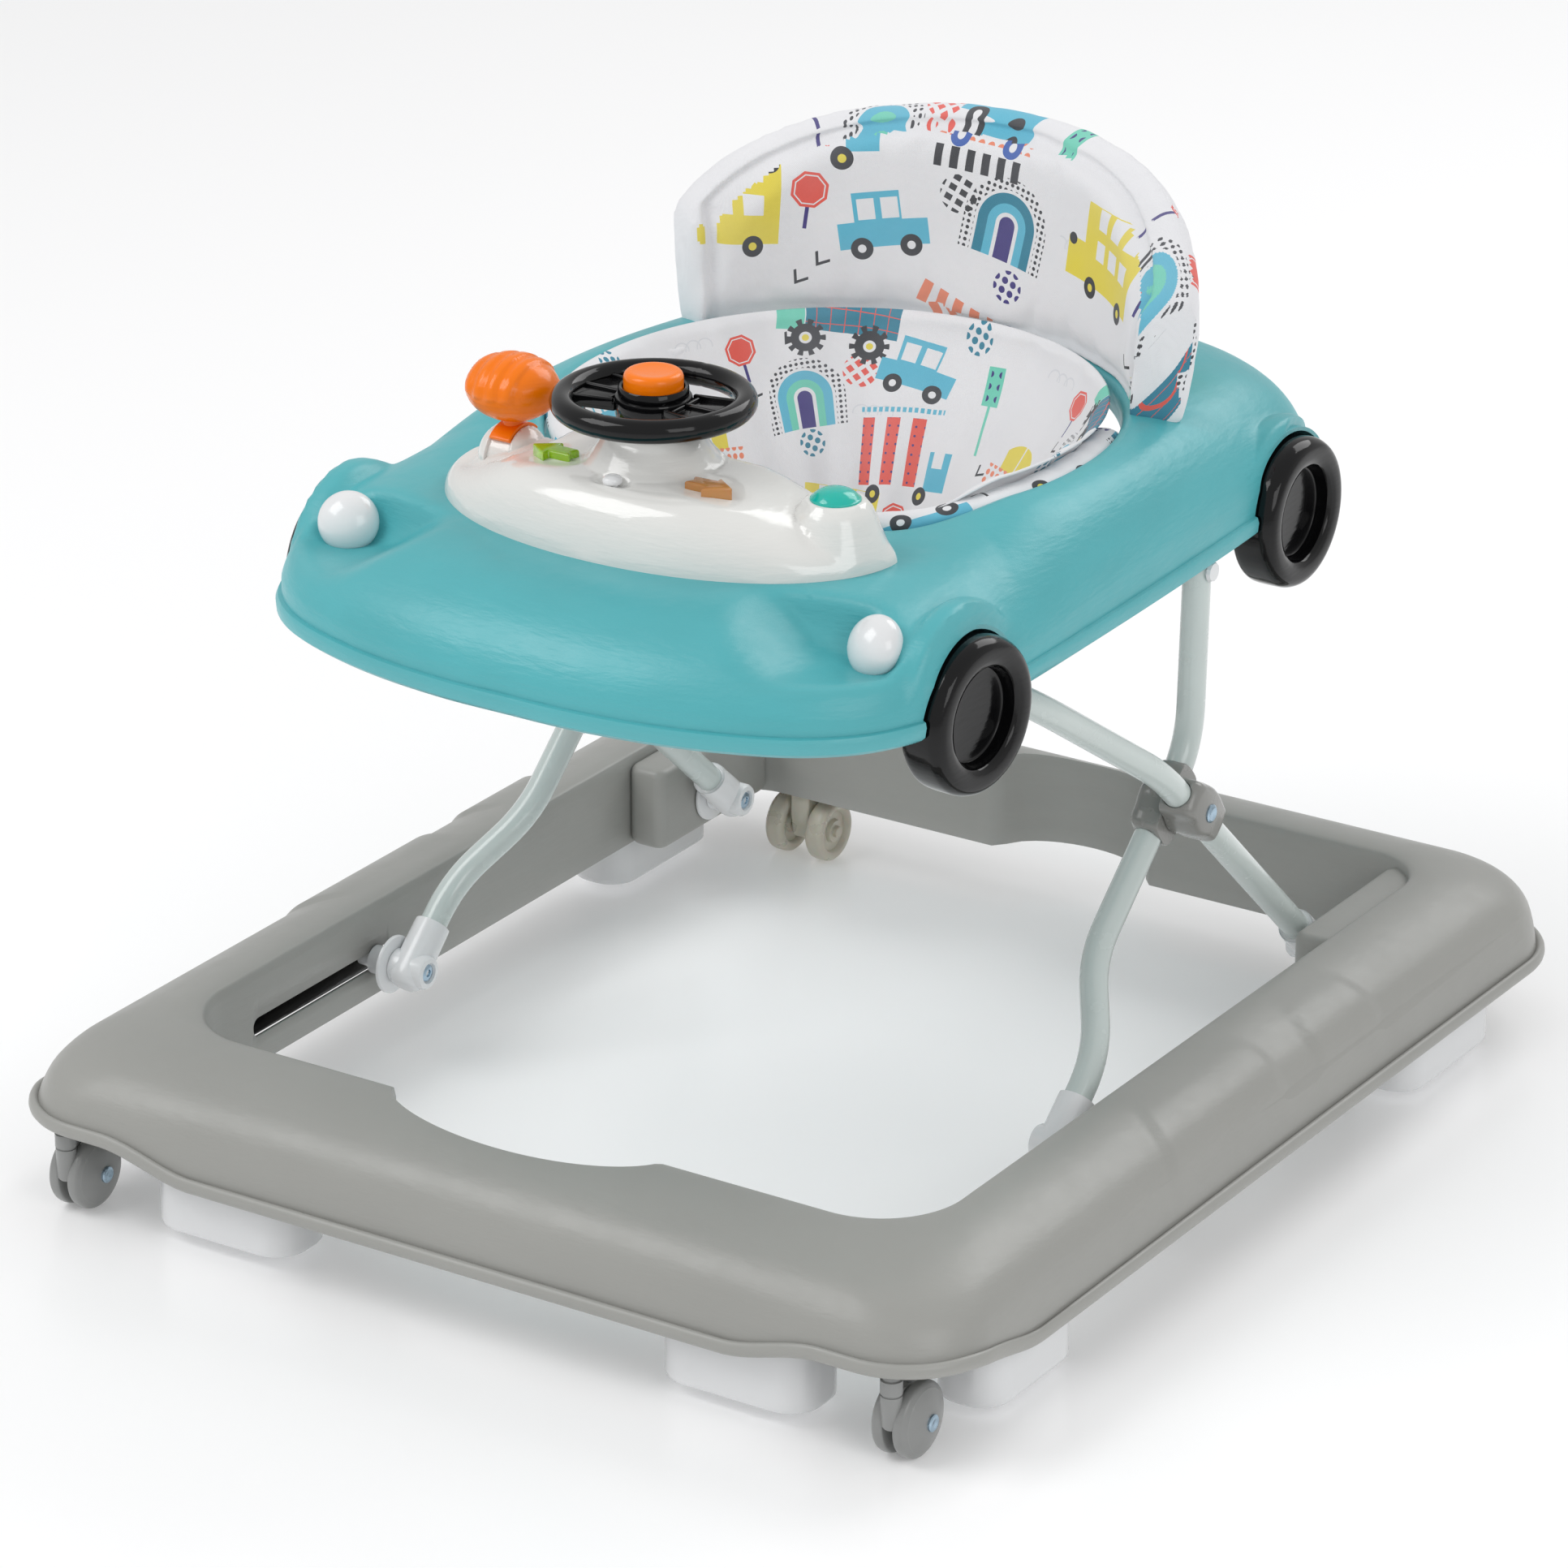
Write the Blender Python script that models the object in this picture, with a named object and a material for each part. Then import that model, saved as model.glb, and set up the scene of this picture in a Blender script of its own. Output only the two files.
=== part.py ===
"""Baby walker: a moulded base on castors, scissor legs, and a car-shaped tray with a toy console and a seat.

Metres, +Z up. The front faces -Y, +X is the walker's right side, and z = 0 is the floor.
The origin is on the floor, at the centre of the base.
"""
import math

import bmesh
import bpy
from mathutils import Matrix, Vector

GAP = 0.0003
SIDES = (("left", -1), ("right", 1))

# Base ring
BASE_HALF_WIDTH = 0.305
BASE_HALF_LENGTH = 0.3575
BASE_BOTTOM = 0.043
BASE_TOP = 0.1005
BASE_WALL = 0.003
WELL_HALF_WIDTH = 0.239
WELL_FRONT = -0.280
WELL_REAR = 0.288
NOTCH_HALF_WIDTH = 0.086
NOTCH_DEPTH = 0.030
SCOOP_HALF_WIDTH = 0.050
SCOOP_DEPTH = 0.030
CASTOR_RIM_LIFT = 0.012

# Feet
FOOT_BOTTOM = 0.008
FOOT_TOP = 0.052

# Front castors
CASTOR_X = 0.266
CASTOR_Y = -0.341
CASTOR_RADIUS = 0.021
CASTOR_TRAIL = 0.016

# Rear castors
REAR_AXLE_X = 0.1947
REAR_AXLE_Y = 0.3030
REAR_WHEEL_RADIUS = 0.019
REAR_WHEEL_SPACING = 0.0287
REAR_WHEEL_WIDTH = 0.0125

# Scissor legs
TUBE_RADIUS = 0.008
TUBE_WALL = 0.0011
PIVOT_Z = 0.065
REAR_PIVOT_Y = 0.222
SLIDER_Y = -0.089
CROSS_Y = (REAR_PIVOT_Y + SLIDER_Y) / 2
CROSS_Z = 0.2055
FRONT_LEG_X = 0.200
SLIDER_LEG_X = 0.2135
REAR_LEG_X = 0.187
CLAMP_SPLIT_X = 0.196
BAR_Y = -0.150
BAR_Z = 0.362
BAR_HALF = 0.140
TRAY_PIVOT_Y = 0.098
TRAY_PIVOT_Z = 0.333

# Tray
TRAY_RIM_Z = 0.342
TRAY_DECK_Z = 0.398
TRAY_WALL = 0.003
TRAY_ROUNDING = 0.080
SEAT_CENTRE_Y = 0.020
SEAT_RADIUS = 0.168
SEAT_HALF_WIDTH = 0.158
SEAT_FRONT_REACH = 0.142
CAR_WHEEL_RADIUS = 0.0430
CAR_WHEEL_WIDTH = 0.0275
CAR_WHEEL_Z = 0.340
CAR_WHEEL_Y = {"front": -0.166, "rear": 0.191}
CAR_WHEEL_FACE_X = {"front": 0.213, "rear": 0.2085}
CAR_WHEEL_TOE = {"front": math.radians(5), "rear": 0.0}
FENDER_RADIUS = 0.0490
FENDER_OUTER_X = {"front": 0.2045, "rear": 0.1985}
WHEEL_WELL_RADIUS = 0.0455
WHEEL_WELL_WALL = 0.0035
LAMP_CENTRE = (0.1667, -0.2028, 0.3825)
LAMP_RADIUS = 0.0170

# Toy console
CONSOLE_CENTRE_Y = -0.1295
CONSOLE_HALF_WIDTH = 0.139
CONSOLE_FRONT_REACH = 0.0915
CONSOLE_REAR_REACH = 0.0125
CONSOLE_HEIGHT = 0.038
CONSOLE_END_DROP = 0.42
CONSOLE_WALL = 0.0025
CONSOLE_TOP = TRAY_DECK_Z + CONSOLE_HEIGHT + 0.0018
STEER_Y = -0.157
STEER_Z = 0.470
STEER_RADIUS = 0.0485
STEER_TUBE = 0.0065
LEVER_X = -0.097
LEVER_Y = -0.147
LEVER_Z = 0.417
LEVER_HOUSING = 0.0192
KNOB_RISE = 0.0392
KNOB_HALF_HEIGHT = 0.0190
KNOB_RADIUS = 0.0254
DOME_X = 0.107
DOME_Y = -0.147
ARROW_X = 0.049
ARROW_Y = -0.178
SWITCH_X = 0.001
SWITCH_Y = -0.1975

# Seat
CUSHION_INNER = 0.152
CUSHION_OUTER = 0.191
CUSHION_BOTTOM = 0.4165
CUSHION_TOP = 0.531
CUSHION_END_ANGLE = math.radians(62)
BOARD_RADIUS = 0.1735
BOARD_THICKNESS = 0.003
SLING_BOTTOM = 0.262
SLING_THICKNESS = 0.004


def clear_scene():
    """Remove every object, so that the file holds only this part."""
    for item in list(bpy.data.objects):
        bpy.data.objects.remove(item, do_unlink=True)


def plastic(name, colour, roughness, metallic=0.0, transmission=0.0):
    """Principled material with one colour."""
    material = bpy.data.materials.new(name)
    material.use_nodes = True
    shader = material.node_tree.nodes["Principled BSDF"]
    shader.inputs["Base Color"].default_value = (*colour, 1.0)
    shader.inputs["Roughness"].default_value = roughness
    shader.inputs["Metallic"].default_value = metallic
    shader.inputs["Transmission Weight"].default_value = transmission
    return material


FINISHES = {
    "base_plastic": ((0.36, 0.36, 0.34), 0.45, 0.0, 0.0),
    "clamp_plastic": ((0.24, 0.24, 0.23), 0.40, 0.0, 0.0),
    "white_plastic": ((0.82, 0.82, 0.82), 0.25, 0.0, 0.0),
    "milky_nylon": ((0.72, 0.70, 0.60), 0.30, 0.0, 0.2),
    "painted_tube": ((0.62, 0.68, 0.66), 0.25, 0.0, 0.0),
    "rivet_steel": ((0.55, 0.62, 0.70), 0.25, 1.0, 0.0),
    "tray_plastic": ((0.09, 0.42, 0.46), 0.40, 0.0, 0.0),
    "black_plastic": ((0.008, 0.008, 0.009), 0.10, 0.0, 0.0),
    "console_plastic": ((0.80, 0.80, 0.77), 0.15, 0.0, 0.0),
    "orange_plastic": ((0.90, 0.22, 0.01), 0.25, 0.0, 0.0),
    "green_clear": ((0.45, 0.75, 0.02), 0.20, 0.0, 0.4),
    "amber_clear": ((0.75, 0.35, 0.08), 0.20, 0.0, 0.4),
    "teal_clear": ((0.01, 0.60, 0.50), 0.20, 0.0, 0.3),
    "print_fabric": ((0.80, 0.80, 0.82), 0.90, 0.0, 0.0),
    "board_plastic": ((0.30, 0.30, 0.30), 0.50, 0.0, 0.0),
}


def add_object(name, bm, finish, crease=35):
    """Turn a bmesh into a closed, outward-facing object with its own material."""
    bmesh.ops.recalc_face_normals(bm, faces=bm.faces)
    if bm.calc_volume(signed=True) < 0:
        bmesh.ops.reverse_faces(bm, faces=bm.faces)
    mesh = bpy.data.meshes.new(name)
    bm.to_mesh(mesh)
    bm.free()
    mesh.materials.append(plastic(name, *FINISHES[finish]))
    mesh.shade_smooth()
    mesh.set_sharp_from_angle(angle=math.radians(crease))
    item = bpy.data.objects.new(name, mesh)
    bpy.context.scene.collection.objects.link(item)
    return item


def join_rows(bm, rows):
    """Quads between neighbouring rows of vertices, each row a closed loop."""
    count = len(rows[0])
    for low, high in zip(rows, rows[1:]):
        for i in range(count):
            j = (i + 1) % count
            bm.faces.new((low[i], low[j], high[j], high[i]))


def bridge(bm, loops, wrap=False):
    """Join point loops of one length with quads. Without wrap, the first and last loops get a cap."""
    rows = [[bm.verts.new(point) for point in loop] for loop in loops]
    if wrap:
        join_rows(bm, rows + rows[:1])
    else:
        join_rows(bm, rows)
        bm.faces.new(rows[0][::-1])
        bm.faces.new(rows[-1])


def solid(name, loops, finish, wrap=False, crease=35):
    """Closed body through a list of point loops."""
    bm = bmesh.new()
    bridge(bm, loops, wrap)
    return add_object(name, bm, finish, crease)


def circle(centre, across, up, radius, count):
    """Points of a circle in the plane of two unit vectors."""
    centre = Vector(centre)
    points = []
    for i in range(count):
        angle = 2 * math.pi * i / count
        points.append(centre + radius * (math.cos(angle) * Vector(across) + math.sin(angle) * Vector(up)))
    return points


def turned(name, centre, axis, profile, finish, count=16, crease=35):
    """Round body about an axis through centre. The profile is a list of (distance along, radius)."""
    axis = Vector(axis).normalized()
    guide = Vector((1, 0, 0)) if abs(axis.z) > 0.9 else Vector((0, 0, 1))
    across = (guide - axis * axis.dot(guide)).normalized()
    up = axis.cross(across)
    loops = [circle(Vector(centre) + axis * along, across, up, radius, count) for along, radius in profile]
    return solid(name, loops, finish, crease=crease)


def rounded_outline(low, high, radius, steps=3):
    """Rectangle with round corners, counter-clockwise."""
    corners = ((high[0], low[1], -90), (high[0], high[1], 0), (low[0], high[1], 90), (low[0], low[1], 180))
    points = []
    for x, y, start in corners:
        centre_x = x - math.copysign(radius, x - (low[0] + high[0]) / 2)
        centre_y = y - math.copysign(radius, y - (low[1] + high[1]) / 2)
        for step in range(steps + 1):
            angle = math.radians(start + 90 * step / steps)
            points.append((centre_x + radius * math.cos(angle), centre_y + radius * math.sin(angle)))
    return points


def scaled_outline(outline, inset):
    """Outline moved towards its middle by about the inset."""
    middle_x = sum(x for x, _ in outline) / len(outline)
    middle_y = sum(y for _, y in outline) / len(outline)
    moved = []
    for x, y in outline:
        reach = math.hypot(x - middle_x, y - middle_y)
        keep = max(0.0, 1 - inset / reach)
        moved.append((middle_x + (x - middle_x) * keep, middle_y + (y - middle_y) * keep))
    return moved


def layered(name, outline, levels, finish, crease=35):
    """Upright body: the outline at each (height, inset)."""
    loops = []
    for height, inset in levels:
        loops.append([(x, y, height) for x, y in scaled_outline(outline, inset)])
    return solid(name, loops, finish, crease=crease)


def extruded_x(name, outline, x_low, x_high, finish, crease=35):
    """Outline in the (y, z) plane, extruded along X."""
    loops = [[(x, y, z) for y, z in outline] for x in (x_low, x_high)]
    return solid(name, loops, finish, crease=crease)


def combine(target, tool, operation):
    """Boolean modifier, with its tool object kept as a hidden guide."""
    modifier = target.modifiers.new(tool.name, "BOOLEAN")
    modifier.operation = operation
    modifier.solver = "EXACT"
    modifier.object = tool
    tool.hide_render = True
    tool.display_type = "WIRE"


def cut_round(target, start, end, radius, count=12):
    """Bore a round hole from start to end."""
    start = Vector(start)
    axis = Vector(end) - start
    profile = ((0.0, radius), (axis.length, radius))
    tool = turned(target.name + "_bore", start, axis, profile, "board_plastic", count)
    combine(target, tool, "DIFFERENCE")


def smooth_step(value):
    """Blend from 0 to 1 with flat ends."""
    value = min(1.0, max(0.0, value))
    return value * value * (3 - 2 * value)


def through(knots, value):
    """Straight interpolation in a list of (value, result)."""
    for (low, start), (high, end) in zip(knots, knots[1:]):
        if value <= high:
            return start + (end - start) * (value - low) / (high - low)
    return knots[-1][1]


def curve_through(points, steps, closed=False):
    """Catmull-Rom curve through the points, as a list of Vectors."""
    points = [Vector(point) for point in points]
    count = len(points)
    spans = count if closed else count - 1
    result = []
    for i in range(spans):
        if closed:
            p0, p1, p2, p3 = (points[(i + k) % count] for k in (-1, 0, 1, 2))
        else:
            p0, p1, p2, p3 = (points[min(count - 1, max(0, i + k))] for k in (-1, 0, 1, 2))
        for step in range(steps):
            t = step / steps
            result.append(0.5 * (2 * p1 + (p2 - p0) * t + (2 * p0 - 5 * p1 + 4 * p2 - p3) * t ** 2
                                 + (3 * p1 - p0 - 3 * p2 + p3) * t ** 3))
    if not closed:
        result.append(points[-1])
    return result


# ---------------------------------------------------------------- base

def base_outline(half_width, front, rear, corner_front, corner_rear):
    """Outline of the base as (x, y), with the same number of points for every size."""
    front_marks = (-1.0, -0.66, -0.45, -0.36, -0.22, -0.08, 0.08, 0.22, 0.36, 0.45, 0.66, 1.0)
    rear_marks = (1.0, 0.5, 0.22, 0.12, -0.12, -0.22, -0.5, -1.0)
    side_marks = (0.5,)
    corner_steps = 4
    points = []
    straight = half_width - corner_front
    points += [(mark * straight, front) for mark in front_marks]
    for step in range(1, corner_steps + 1):
        angle = math.radians(-90 + 90 * step / corner_steps)
        points.append((straight + corner_front * math.cos(angle), front + corner_front * (1 + math.sin(angle))))
    low, high = front + corner_front, rear - corner_rear
    points += [(half_width, low + (high - low) * mark) for mark in side_marks]
    straight = half_width - corner_rear
    for step in range(corner_steps):
        angle = math.radians(90 * step / corner_steps)
        points.append((straight + corner_rear * math.cos(angle), rear - corner_rear * (1 - math.sin(angle))))
    points += [(mark * straight, rear) for mark in rear_marks]
    for step in range(1, corner_steps + 1):
        angle = math.radians(90 + 90 * step / corner_steps)
        points.append((-straight + corner_rear * math.cos(angle), rear - corner_rear * (1 - math.sin(angle))))
    points += [(-half_width, high + (low - high) * mark) for mark in side_marks]
    straight = half_width - corner_front
    for step in range(corner_steps):
        angle = math.radians(180 + 90 * step / corner_steps)
        points.append((-straight + corner_front * math.cos(angle), front + corner_front * (1 + math.sin(angle))))
    return points


BASE_CREST = ((0.0, 0.950), (0.06, 0.992), (0.16, 1.0), (0.34, 0.982), (0.52, 0.945), (0.72, 0.875),
              (0.86, 0.775), (0.93, 0.680), (1.0, 0.560))


def base_top(across):
    """Height of the base's top at a fraction of the way from the inner wall to the rim."""
    return BASE_TOP * through(BASE_CREST, across)


def scoop_start(inner, outer):
    """Where the top starts, as a fraction of the way out: past the notch in front or the scoop behind."""
    front = inner[1] < 0
    half_width = NOTCH_HALF_WIDTH if front else SCOOP_HALF_WIDTH
    depth = NOTCH_DEPTH if front else SCOOP_DEPTH
    across = 0.0
    if abs(inner[1]) < 0.25:
        return across
    for _ in range(4):
        x = inner[0] + (outer[0] - inner[0]) * across
        if abs(x) >= half_width:
            return 0.0
        reach = depth * math.sqrt(1 - (x / half_width) ** 2)
        across = reach / abs(outer[1] - inner[1])
    return across


def build_base():
    """Open-bottomed ring, with the notch, the scoop, castor sockets, pivot blocks and slider slots."""
    inner = base_outline(WELL_HALF_WIDTH, WELL_FRONT, WELL_REAR, 0.050, 0.034)
    outer = base_outline(BASE_HALF_WIDTH, -BASE_HALF_LENGTH, BASE_HALF_LENGTH, 0.052, 0.060)
    top_marks = (0.0, 0.06, 0.16, 0.34, 0.52, 0.72, 0.87, 0.955)
    under_marks = (0.86, 0.5, 0.16)
    sections = []
    for (xi, yi), (xo, yo) in zip(inner, outer):
        start = scoop_start((xi, yi), (xo, yo))
        width = math.hypot(xo - xi, yo - yi)
        wall = BASE_WALL / width
        near = math.hypot(abs(xo) - CASTOR_X, yo - CASTOR_Y)
        lift = CASTOR_RIM_LIFT * smooth_step(1.6 - near / 0.060) if yo < 0 else 0.0
        rim = BASE_BOTTOM + lift

        def place(across, height):
            return (xi + (xo - xi) * across, yi + (yo - yi) * across, height)

        section = [place(start, BASE_BOTTOM)]
        scooped = start > 0 and yi > 0
        for mark in top_marks:
            across = start + (1 - start) * mark
            height = max(base_top(across), rim + 0.010)
            if scooped and mark == 0.0:
                height -= 0.004
            section.append(place(across, height))
        section += [place(1.0, rim + 0.008), place(1.0, rim + 0.002), place(0.985, rim)]
        section += [place(1 - wall - 0.015, rim)]
        for mark in under_marks:
            across = start + wall + (1 - start - 2 * wall) * mark
            section.append(place(across, max(base_top(across), rim + 0.010) - BASE_WALL))
        section += [place(start + wall, base_top(start + wall) - BASE_WALL - 0.004),
                    place(start + wall, BASE_BOTTOM)]
        sections.append(section)
    base = solid("base_shell", sections, "base_plastic", wrap=True)
    add_pivot_blocks(base)
    add_castor_sockets(base)
    cut_slider_slots(base)
    return base


def add_pivot_blocks(base):
    """Raised blocks inside the rear corners, which hold the front leg frame's pivots."""
    for side, sign in SIDES:
        x_low, x_high = sorted((sign * 0.214, sign * (WELL_HALF_WIDTH + 0.0015)))
        outline = rounded_outline((x_low, 0.170), (x_high, WELL_REAR + 0.0015), 0.008)
        levels = ((BASE_BOTTOM + 0.0005, 0.0), (0.088, 0.0), (0.0945, 0.007))
        block = layered("pivot_block_" + side, outline, levels, "base_plastic")
        combine(base, block, "UNION")
        cut_round(base, (sign * 0.205, REAR_PIVOT_Y, PIVOT_Z), (sign * 0.228, REAR_PIVOT_Y, PIVOT_Z), 0.0063)


def add_castor_sockets(base):
    """Round sockets under the front corners, bored for the castor stems."""
    for side, sign in SIDES:
        centre = (sign * CASTOR_X, CASTOR_Y, 0.0)
        profile = ((0.0500, 0.0062), (0.0515, 0.0066), (0.0640, 0.0066))
        socket = turned("castor_socket_" + side, centre, (0, 0, 1), profile, "base_plastic", 10)
        combine(base, socket, "UNION")
        cut_round(base, (centre[0], centre[1], 0.045), (centre[0], centre[1], 0.0605), 0.0038, 8)


def cut_slider_slots(base):
    """Long slots in the side rails' inner walls, in which the slider pins run."""
    for side, sign in SIDES:
        outline = rounded_outline((-0.205, PIVOT_Z - 0.007), (-0.076, PIVOT_Z + 0.007), 0.005, 2)
        x_low, x_high = sorted((sign * 0.230, sign * 0.250))
        slot = extruded_x("slider_slot_" + side, outline, x_low, x_high, "board_plastic")
        combine(base, slot, "DIFFERENCE")


def build_foot(name, low, high, ceiling):
    """Stop pad whose screw post reaches up to the base's ceiling."""
    outline = rounded_outline(low, high, 0.016, 2)
    middle = ((low[0] + high[0]) / 2, (low[1] + high[1]) / 2)
    post = []
    for x, y in outline:
        angle = math.atan2(y - middle[1], x - middle[0])
        post.append((middle[0] + 0.006 * math.cos(angle), middle[1] + 0.006 * math.sin(angle)))
    loops = []
    for height, inset in ((FOOT_BOTTOM, 0.003), (FOOT_BOTTOM + 0.002, 0.0), (FOOT_TOP, 0.0)):
        loops.append([(x, y, height) for x, y in scaled_outline(outline, inset)])
    loops.append([(x, y, FOOT_TOP) for x, y in post])
    loops.append([(x, y, ceiling) for x, y in post])
    return solid(name, loops, "white_plastic")


def build_feet():
    """Six stop pads under the rails."""
    for side, sign in SIDES:
        def span(x_near, x_far):
            return sorted((sign * x_near, sign * x_far))
        low, high = span(0.118, 0.212)
        build_foot("foot_front_" + side, (low, -0.341), (high, -0.293), 0.0800)
        low, high = span(0.249, 0.291)
        build_foot("foot_side_front_" + side, (low, -0.281), (high, -0.192), 0.0810)
        build_foot("foot_side_rear_" + side, (low, 0.176), (high, 0.281), 0.0780)


# ---------------------------------------------------------------- castors

def build_front_castors():
    """Swivelling twin-wheel castors: fork and stem, two domed wheel halves and an axle rivet."""
    dome = ((0.0, CASTOR_RADIUS - 0.0004), (0.0035, CASTOR_RADIUS), (0.0065, CASTOR_RADIUS - 0.0014),
            (0.0092, 0.0150), (0.0118, 0.0050))
    for side, sign in SIDES:
        hub = (sign * CASTOR_X, CASTOR_Y + CASTOR_TRAIL, CASTOR_RADIUS)
        build_castor_fork("castor_fork_" + side, sign * CASTOR_X, hub)
        for place, way in (("inner", -sign), ("outer", sign)):
            name = "castor_wheel_%s_%s" % (place, side)
            face = (hub[0] + way * 0.0029, hub[1], hub[2])
            half = turned(name, face, (way, 0, 0), dome, "base_plastic", 14)
            cut_round(half, (hub[0] - 0.02, *hub[1:]), (hub[0] + 0.02, *hub[1:]), 0.0031, 8)
        profile = ((-0.0165, 0.0045), (-0.0150, 0.0048), (-0.0150, 0.0028), (0.0150, 0.0028),
                   (0.0150, 0.0048), (0.0165, 0.0045))
        turned("castor_axle_" + side, hub, (sign, 0, 0), profile, "rivet_steel", 8)


def build_castor_fork(name, x, hub):
    """Stem on the swivel axis, joined to the plate that holds the axle between the wheel halves."""
    profile = ((0.0415, 0.0035), (0.0430, 0.0056), (0.0496, 0.0057), (0.0497, 0.0034), (0.0590, 0.0034))
    fork = turned(name, (x, CASTOR_Y, 0), (0, 0, 1), profile, "base_plastic", 10)
    outline = ((-0.0195, 0.0245), (-0.0120, 0.0245), (0.0, 0.0190), (0.0110, 0.0100), (0.0110, -0.0060),
               (0.0, -0.0120), (-0.0110, -0.0050), (-0.0195, 0.0120))
    placed = [(hub[1] + along, hub[2] + height) for along, height in outline]
    plate = extruded_x(name + "_plate", placed, x - 0.0025, x + 0.0025, "base_plastic")
    combine(fork, plate, "UNION")
    cut_round(fork, (x - 0.01, *hub[1:]), (x + 0.01, *hub[1:]), 0.0031, 8)


def build_rear_castors():
    """Fixed rear castors: a bracket with two axle stubs, and two milky wheels."""
    for side, sign in SIDES:
        centre = (sign * REAR_AXLE_X, REAR_AXLE_Y, REAR_WHEEL_RADIUS)
        bracket = build_rear_bracket("rear_bracket_" + side, centre)
        profile = ((-0.0225, 0.0034), (0.0225, 0.0034))
        axle = turned("rear_axle_" + side, centre, (1, 0, 0), profile, "milky_nylon", 10)
        combine(bracket, axle, "UNION")
        half = REAR_WHEEL_WIDTH / 2
        for place, way in (("inner", -sign), ("outer", sign)):
            middle = (centre[0] + way * REAR_WHEEL_SPACING / 2, centre[1], centre[2])
            profile = ((-half, 0.0075), (-half, REAR_WHEEL_RADIUS - 0.003), (-half + 0.003, REAR_WHEEL_RADIUS),
                       (half - 0.003, REAR_WHEEL_RADIUS), (half, REAR_WHEEL_RADIUS - 0.003), (half, 0.0075))
            name = "rear_wheel_%s_%s" % (place, side)
            wheel = turned(name, middle, (1, 0, 0), profile, "milky_nylon", 14)
            cut_round(wheel, (middle[0] - 0.02, *middle[1:]), (middle[0] + 0.02, *middle[1:]), 0.0038, 10)


def build_rear_bracket(name, centre):
    """Flat web between the wheels, with a foot plate that fits inside the rear rail."""
    x, y, z = centre
    web = ((y - 0.008, z - 0.006), (y + 0.008, z - 0.006), (y + 0.011, z + 0.010), (y + 0.014, 0.066),
           (y - 0.009, 0.066), (y - 0.011, z + 0.010))
    return extruded_x(name, web, x - 0.0065, x + 0.0065, "milky_nylon")


# ---------------------------------------------------------------- legs

def bent_path(points, bends, steps=3):
    """Polyline whose corners are rounded by the bend lengths, which repeat backwards on the second half."""
    points = [Vector(point) for point in points]
    bends = list(bends) + list(bends[::-1])
    path = [points[0]]
    for before, corner, after, bend in zip(points, points[1:], points[2:], bends):
        reach = min(bend, (corner - before).length * 0.45, (after - corner).length * 0.45)
        start = corner + (before - corner).normalized() * reach
        end = corner + (after - corner).normalized() * reach
        for step in range(steps + 1):
            t = step / steps
            path.append(start * (1 - t) ** 2 + corner * 2 * t * (1 - t) + end * t * t)
    path.append(points[-1])
    return path


def build_tube(name, points, bends, finish, count=8):
    """Bent steel tube with open ends."""
    path = bent_path(points, bends)
    across = None
    outer = []
    inner = []
    for i, point in enumerate(path):
        ahead = path[min(i + 1, len(path) - 1)] - path[max(i - 1, 0)]
        ahead.normalize()
        if across is None:
            across = ahead.orthogonal().normalized()
        across = (across - ahead * across.dot(ahead)).normalized()
        up = ahead.cross(across)
        outer.append(circle(point, across, up, TUBE_RADIUS, count))
        inner.append(circle(point, across, up, TUBE_RADIUS - TUBE_WALL, count))
    return solid(name, outer + inner[::-1], finish, wrap=True)


def toward(start, end, distance):
    """Point at a distance from start in the direction of end."""
    start = Vector(start)
    return start + (Vector(end) - start).normalized() * distance


def front_leg_points(sign):
    """Corners of the front leg frame on one side, from its rear pivot to its cross bar."""
    return ((sign * FRONT_LEG_X, REAR_PIVOT_Y, PIVOT_Z), (sign * 0.205, 0.030, 0.2385),
            (sign * 0.1905, -0.088, 0.3185), (sign * BAR_HALF, BAR_Y, BAR_Z))


def rear_leg_points(sign):
    """Corners of a rear leg, from its slider pin to its pivot under the tray."""
    return ((sign * SLIDER_LEG_X, SLIDER_Y, PIVOT_Z), (sign * SLIDER_LEG_X, -0.047, 0.103),
            (sign * REAR_LEG_X, -0.008, 0.139), (sign * REAR_LEG_X, 0.094, 0.2295),
            (sign * REAR_LEG_X, TRAY_PIVOT_Y, TRAY_PIVOT_Z))


def build_legs():
    """Front leg frame in one tube, and two rear leg tubes, drilled for their rivets and pivots."""
    right = list(front_leg_points(1))
    left = list(front_leg_points(-1))
    right[0] = toward(right[0], right[1], 0.011)
    left[0] = toward(left[0], left[1], 0.011)
    frame = build_tube("leg_frame_front", right + left[::-1], (0.008, 0.030, 0.045), "painted_tube")
    for _, sign in SIDES:
        cut_round(frame, (sign * 0.190, CROSS_Y, CROSS_Z), (sign * 0.220, CROSS_Y, CROSS_Z), 0.0033, 8)
    for side, sign in SIDES:
        points = list(rear_leg_points(sign))
        points[0] = toward(points[0], points[1], 0.011)
        points[-1] = Vector(points[-1]) + Vector((0, 0, 0.0075))
        leg = build_tube("leg_rear_" + side, points, (0.022, 0.016, 0.012), "painted_tube")
        cut_round(leg, (sign * 0.170, CROSS_Y, CROSS_Z), (sign * 0.1985, CROSS_Y, CROSS_Z), 0.0033, 8)
        cut_round(leg, (sign * 0.170, TRAY_PIVOT_Y, TRAY_PIVOT_Z), (sign * 0.205, TRAY_PIVOT_Y, TRAY_PIVOT_Z),
                  0.0043, 10)


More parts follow.
